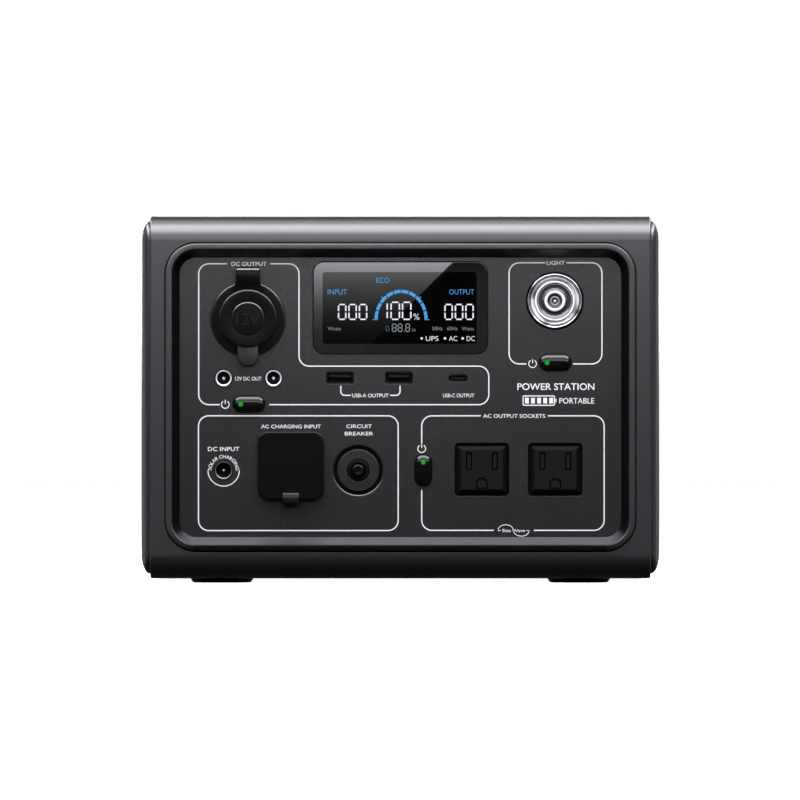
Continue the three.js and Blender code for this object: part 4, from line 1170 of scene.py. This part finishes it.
def build_print():
    """The frames round the groups of sockets, open where their labels and symbols stand, and the words."""
    r = 5.0  # the frames' corners
    left, right, step, top, shelf, bottom = -99.5, 43.6, -50.0, 65.9, 15.4, -3.6
    upper = [(-64.2, top, 0), (step, top, r), (step, shelf, r), (right, shelf, r), (right, bottom, r)]
    lines = [
        trace(*upper, (-64.7, bottom, 0)),
        trace((-85.5, top, 0), (left, top, r), (left, bottom, r), (-89.2, bottom, 0)),
    ]
    symbols = power_mark(-86.4, bottom + 0.1)

    left, right, top, bottom = 53.6, 99.4, 66.4, 16.5
    lines += [
        trace((71.3, top, 0), (left, top, r), (left, bottom, r), (62.1, bottom, 0)),
        trace((81.8, top, 0), (right, top, r), (right, bottom, r), (85.1, bottom, 0)),
    ]
    symbols += power_mark(65.2, bottom + 0.1)

    left, right, top, bottom = -99.6, -1.1, -9.1, -65.7
    box = [(left, top, r), (left, bottom, r), (right, bottom, r), (right, top, r)]
    lines.append(loop(rounded_path(box)))

    left, right, bottom = 10.5, 100.5, -65.6
    lines += [
        trace((39.6, top, 0), (left, top, r), (left, -22.7, 0)),
        trace((left, -45.6, 0), (left, bottom, r), (46.1, bottom, 0)),
        trace((72.7, top, 0), (right, top, r), (right, bottom, r), (65.8, bottom, 0)),
    ]
    symbols += power_mark(left, -25.3)

    for x, inward in ((-29.4, -24.5), (-0.2, -5.1)):
        lines.append(trace((x, 5.7, 0), (x, 1.0, 2.0), (inward, 1.0, 0)))
    outline = inked(lines, LINE)

    solar_x, solar_y = -87.2, -36.0
    wave_x, wave_y, reach = 55.8, -65.65, 3.85
    symbols.append(arc((solar_x, solar_y), 7.75, 180, 360, 32))
    halves = ((wave_x - reach, 170, 14), (wave_x + reach, 194, 350))
    wave = [arc((x, wave_y), reach, start, end, 32, 2.8) for x, start, end in halves]
    wave += [[(wave_x + sign * 6.3, wave_y), (wave_x + sign * 7.8, wave_y)] for sign in (-1, 1)]
    words = [
        ("DC OUTPUT", -74.7, 65.9, 2.0, 17.3),
        ("LIGHT", 76.6, 66.4, 2.0, 9.0),
        ("12V DC OUT", -75.0, 9.3, 1.9, 12.9),
        ("USB-A OUTPUT", -14.8, 1.0, 1.9, 18.0),
        ("USB-C OUTPUT", 28.7, 1.0, 1.9, 15.4),
        ("AC OUTPUT SOCKETS", 56.1, -9.1, 1.9, 30.6),
        ("AC CHARGING INPUT", -54.0, -14.3, 1.9, 29.5),
        ("CIRCUIT", -20.4, -14.2, 1.9, 12.6),
        ("BREAKER", -20.4, -17.8, 1.9, 14.0),
        ("DC INPUT", -87.2, -25.4, 2.1, 15.5),
        ("Sine Wave", wave_x, wave_y, 1.5, 11.3),
        ("PORTABLE", 87.0, -1.6, 2.9, 17.2),
    ]
    marks = [lettering("word", text, size, on_panel(x, y), width) for text, x, y, size, width in words]
    marks.append(lettering("word", "POWER STATION", 3.4, on_panel(76.7, 5.4), 38.0, bold=0.04))
    marks.append(curved_lettering("SOLAR CHARGING", 1.75, 6.0, 178.0, on_panel(solar_x, solar_y)))
    battery = rounded_path([(60.5, -3.9, 0.6), (76, -3.9, 0.6), (76, 0.7, 0.6), (60.5, 0.7, 0.6)])
    emblem = inked([loop(battery), [(76.7, -2.5), (76.7, -0.7)]], 0.5)
    bars = inked([[(x, -3.0), (x, -0.2)] for x in row_of(5, 3.0, 68.4)], 1.9)
    pieces = [outline, inked(symbols, FINE_LINE), inked(wave, THIN_LINE), *marks, emblem, bars]
    add(join("panel_print", pieces), WHITE_INK, "white_print")


# ------------ pieces that keep their CAD shapes

CAD_FINISHES = (
    (STEEL, "handle_pin_left", "handle_pin_right"),
    (DARK_GREY, "display_module"),
    (ZINC, "dc_switch", "light_switch", "ac_switch"),
    (BRASS, "car_socket_contact"),
    (BOARD, "control_board", "battery_monitor_board", "inverter_board"),
    (CELL_WRAP, "cell_row_lower", "cell_row_upper"),
    (BLACK, "battery_cradle_front", "battery_cradle_rear", "fan_frame", "fan_rotor"),
    (ALUMINIUM, "deck_plate", "inverter_heatsink"),
    (FERRITE, "transformer"),
    (GLOSS, "bulk_capacitor"),
)


def finish_the_rest():
    for material, *names in CAD_FINISHES:
        for name in names:
            paint(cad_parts[name], material)


# ------------ stage, lights and camera

VIEW_WIDTH = 0.3946
VIEW_DISTANCE = 6.0
SENSOR = 36.0
VIEW_CENTRE = Vector((-0.0002, 0.0, 0.0903))


def build_camera():
    data = bpy.data.cameras.new("camera")
    data.sensor_width = SENSOR
    data.lens = SENSOR * VIEW_DISTANCE / VIEW_WIDTH
    data.clip_start = 0.05
    data.clip_end = 50.0
    camera = put("camera", data)
    camera.location = (VIEW_CENTRE.x, PANEL_FACE * MM - VIEW_DISTANCE, VIEW_CENTRE.z)
    camera.rotation_euler = (math.pi / 2, 0, 0)
    bpy.context.scene.camera = camera
    bpy.context.scene.view_settings.view_transform = "Standard"


# A curved softbox above the front, as flat strips: elevation in degrees, distance, and radiance.
ARC = (
    (12, 0.6, 7.0),
    (36, 1.0, 5.4),
    (48, 1.0, 17.0),
    (60, 1.0, 17.0),
    (72, 1.0, 20.5),
    (84, 1.0, 6.0),
    (100, 1.0, 5.0),
)
ARC_SIZE = (2.3, 0.21)  # at a distance of 1 m
ARC_MIDDLE = Vector((0.0, -0.08, 0.165))
# Upright strips beside and behind each end: degrees round from the front, and radiance.
ENDS = ((85, 1.5), (125, 1.6), (148, 0.3))
END_SIZE = (0.2, 0.7)
END_REACH, END_SHIFT = 0.9, 0.12
# Softboxes for the ends and the back, out of the front's sight: degrees round, elevation, and radiance.
FILLS = ((-90, 48, 13.0), (90, 48, 13.0), (180, 13, 9.0))
FILL_SIZE = (1.1, 0.45)
FILL_REACH = 1.1
FILL_MIDDLE = Vector((0.0, 0.11, 0.09))
SOFT_WHITE = (0.965, 0.955, 1.0)


def way(around, up=0):
    """The unit vector that many degrees round from the front, seen from above, and up."""
    turn, rise = math.radians(around), math.radians(up)
    return Vector((math.sin(turn) * math.cos(rise), -math.cos(turn) * math.cos(rise), math.sin(rise)))


def soft_light(name, at, size, radiance, aim):
    data = bpy.data.lights.new(name, "AREA")
    data.shape = "RECTANGLE"
    data.size, data.size_y = size
    data.energy = math.pi * size[0] * size[1] * radiance
    data.color = SOFT_WHITE
    light = put(name, data)
    light.location = at
    light.rotation_euler = (aim - at).to_track_quat("-Z", "Y").to_euler()
    light.visible_camera = False


def build_lights():
    for up, reach, radiance in ARC:
        size = (ARC_SIZE[0] * reach, ARC_SIZE[1] * reach)
        soft_light(f"softbox {up}", ARC_MIDDLE + reach * way(0, up), size, radiance, ARC_MIDDLE)
    for around, radiance in ENDS:
        for sign, end in ((-1, "left"), (1, "right")):
            at = END_REACH * way(sign * around) + Vector((sign * END_SHIFT, 0.0, 0.12))
            aim = Vector((sign * END_SHIFT, 0.0, 0.09))
            soft_light(f"end strip {around} {end}", at, END_SIZE, radiance, aim)
    for around, up, radiance in FILLS:
        at = FILL_MIDDLE + FILL_REACH * way(around, up)
        soft_light(f"fill softbox {around}", at, FILL_SIZE, radiance, FILL_MIDDLE)


GLARE_REACH = 0.55
GLARE_STRENGTH = (0.1, 8.8)
GLARE_FADE = 2.9
GLARE_LOW, GLARE_HIGH = 0.1111, 0.160
GLARE_CORNERS = ((-0.046, GLARE_HIGH), (0.0274, GLARE_HIGH), (-0.0215, GLARE_LOW), (-0.046, GLARE_LOW))


def build_glare():
    """A bright card before the display, cut off at 45 degrees, that only glossy faces pick up."""
    camera = bpy.context.scene.camera.location
    spread = 1 + GLARE_REACH / VIEW_DISTANCE

    def mirrored(x, z):
        """Where the card has to be for the camera to see it mirrored at that place on the panel."""
        x, z = (eye + (at - eye) * spread for at, eye in ((x, camera.x), (z, camera.z)))
        return (x, PANEL_FACE * MM - GLARE_REACH, z)

    mesh = bpy.data.meshes.new("glare card")
    mesh.from_pydata([mirrored(x, z) for x, z in GLARE_CORNERS], [], [(0, 1, 2, 3)])
    card = put("glare card", mesh)
    nodes = Nodes("glare", (0, 0, 0), 1.0, Emission_Color=(0.93, 0.96, 1.0, 1))
    height = nodes.add("ShaderNodeSeparateXYZ")
    nodes.link(nodes.place, height.inputs["Vector"])
    low, high = mirrored(0, GLARE_LOW)[2], mirrored(0, GLARE_HIGH)[2]
    fade = nodes.add("ShaderNodeMath", operation="POWER")
    nodes.link(nodes.between(height.outputs["Z"], 0.0, 1.0, low, high), fade.inputs[0])
    fade.inputs[1].default_value = GLARE_FADE
    strength = nodes.between(fade.outputs[0], *GLARE_STRENGTH, 0.0, 1.0)
    nodes.link(strength, nodes.shader.inputs["Emission Strength"])
    paint(card, nodes.material)
    card.visible_camera = False
    card.visible_diffuse = False
    card.visible_shadow = False
    card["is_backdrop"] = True


FLOOR_RADIUS = 8.0
FLOOR_GLOW = 0.965
AMBIENT = 0.05


def build_stage():
    """A white floor with a faint glow of its own, and a plain world: white to the camera, dim as light."""
    bm = bmesh.new()
    bmesh.ops.create_circle(bm, cap_ends=True, segments=64, radius=FLOOR_RADIUS)
    floor = piece_from(bm, "floor")
    nodes = Nodes("floor", (0.4, 0.4, 0.4), 0.9, Emission_Color=(1, 1, 1, 1), Emission_Strength=FLOOR_GLOW)
    nodes.tint(nodes.noise(3.0), (0.38, 0.38, 0.38), (0.42, 0.42, 0.42))
    paint(floor, nodes.material)
    floor.visible_glossy = False
    floor.visible_diffuse = False
    floor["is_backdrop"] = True

    world = bpy.data.worlds.new("studio")
    bpy.context.scene.world = world
    world.use_nodes = True
    tree = world.node_tree
    tree.nodes.clear()
    kinds = ("ShaderNodeOutputWorld", "ShaderNodeMixShader", "ShaderNodeLightPath")
    output, mix, path = (tree.nodes.new(kind) for kind in kinds)
    tree.links.new(mix.outputs["Shader"], output.inputs["Surface"])
    tree.links.new(path.outputs["Is Camera Ray"], mix.inputs["Fac"])
    for socket, color, strength in ((1, (0.95, 0.97, 1.0, 1), AMBIENT), (2, (1, 1, 1, 1), 1.0)):
        light = tree.nodes.new("ShaderNodeBackground")
        light.inputs["Color"].default_value = color
        light.inputs["Strength"].default_value = strength
        tree.links.new(light.outputs["Background"], mix.inputs[socket])


# ------------ assembly

build_camera()
build_sleeve()
build_tray()
build_grip()
build_cover("end_cover_left", "left_side_cover", -1)
build_cover("end_cover_right", "right_side_cover", 1)
build_bezel()
build_panel()
build_display()
build_lamp()
build_key("dc")
build_key("light")
build_key("ac", -90)
build_car_socket()
for end in ("left", "right"):
    build_jack(f"dc_jack_{end}", f"barrel_jack_{end}", 4.2, 3.38, 0.66, 0.75)
build_jack("solar_jack", "solar_input_jack", 4.4, 3.95, 0.32, 0.5, GREY_NICKEL)
for end in ("left", "right"):
    build_usb(f"type_a_shell_{end}", f"type_a_port_{end}", TYPE_A, 0.3, 12, (11.0, 1.8), 1.0, 4)
build_usb("type_c_shell", "type_c_port", TYPE_C, 0.35, 10, (6.7, 0.9), 0.0, 6, DARK_GREY)
build_inlet()
build_breaker()
build_outlet("outlet_left_insert", "ac_outlet_left")
build_outlet("outlet_right_insert", "ac_outlet_right")
for foot_name in FOOT_NAMES:
    build_foot(foot_name)
build_print()
finish_the_rest()
build_stage()
build_lights()
build_glare()

boxes = {"cad": CAD_BOX, "visual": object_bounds()}
{key: [list(corner) for corner in corners] for key, corners in boxes.items()}
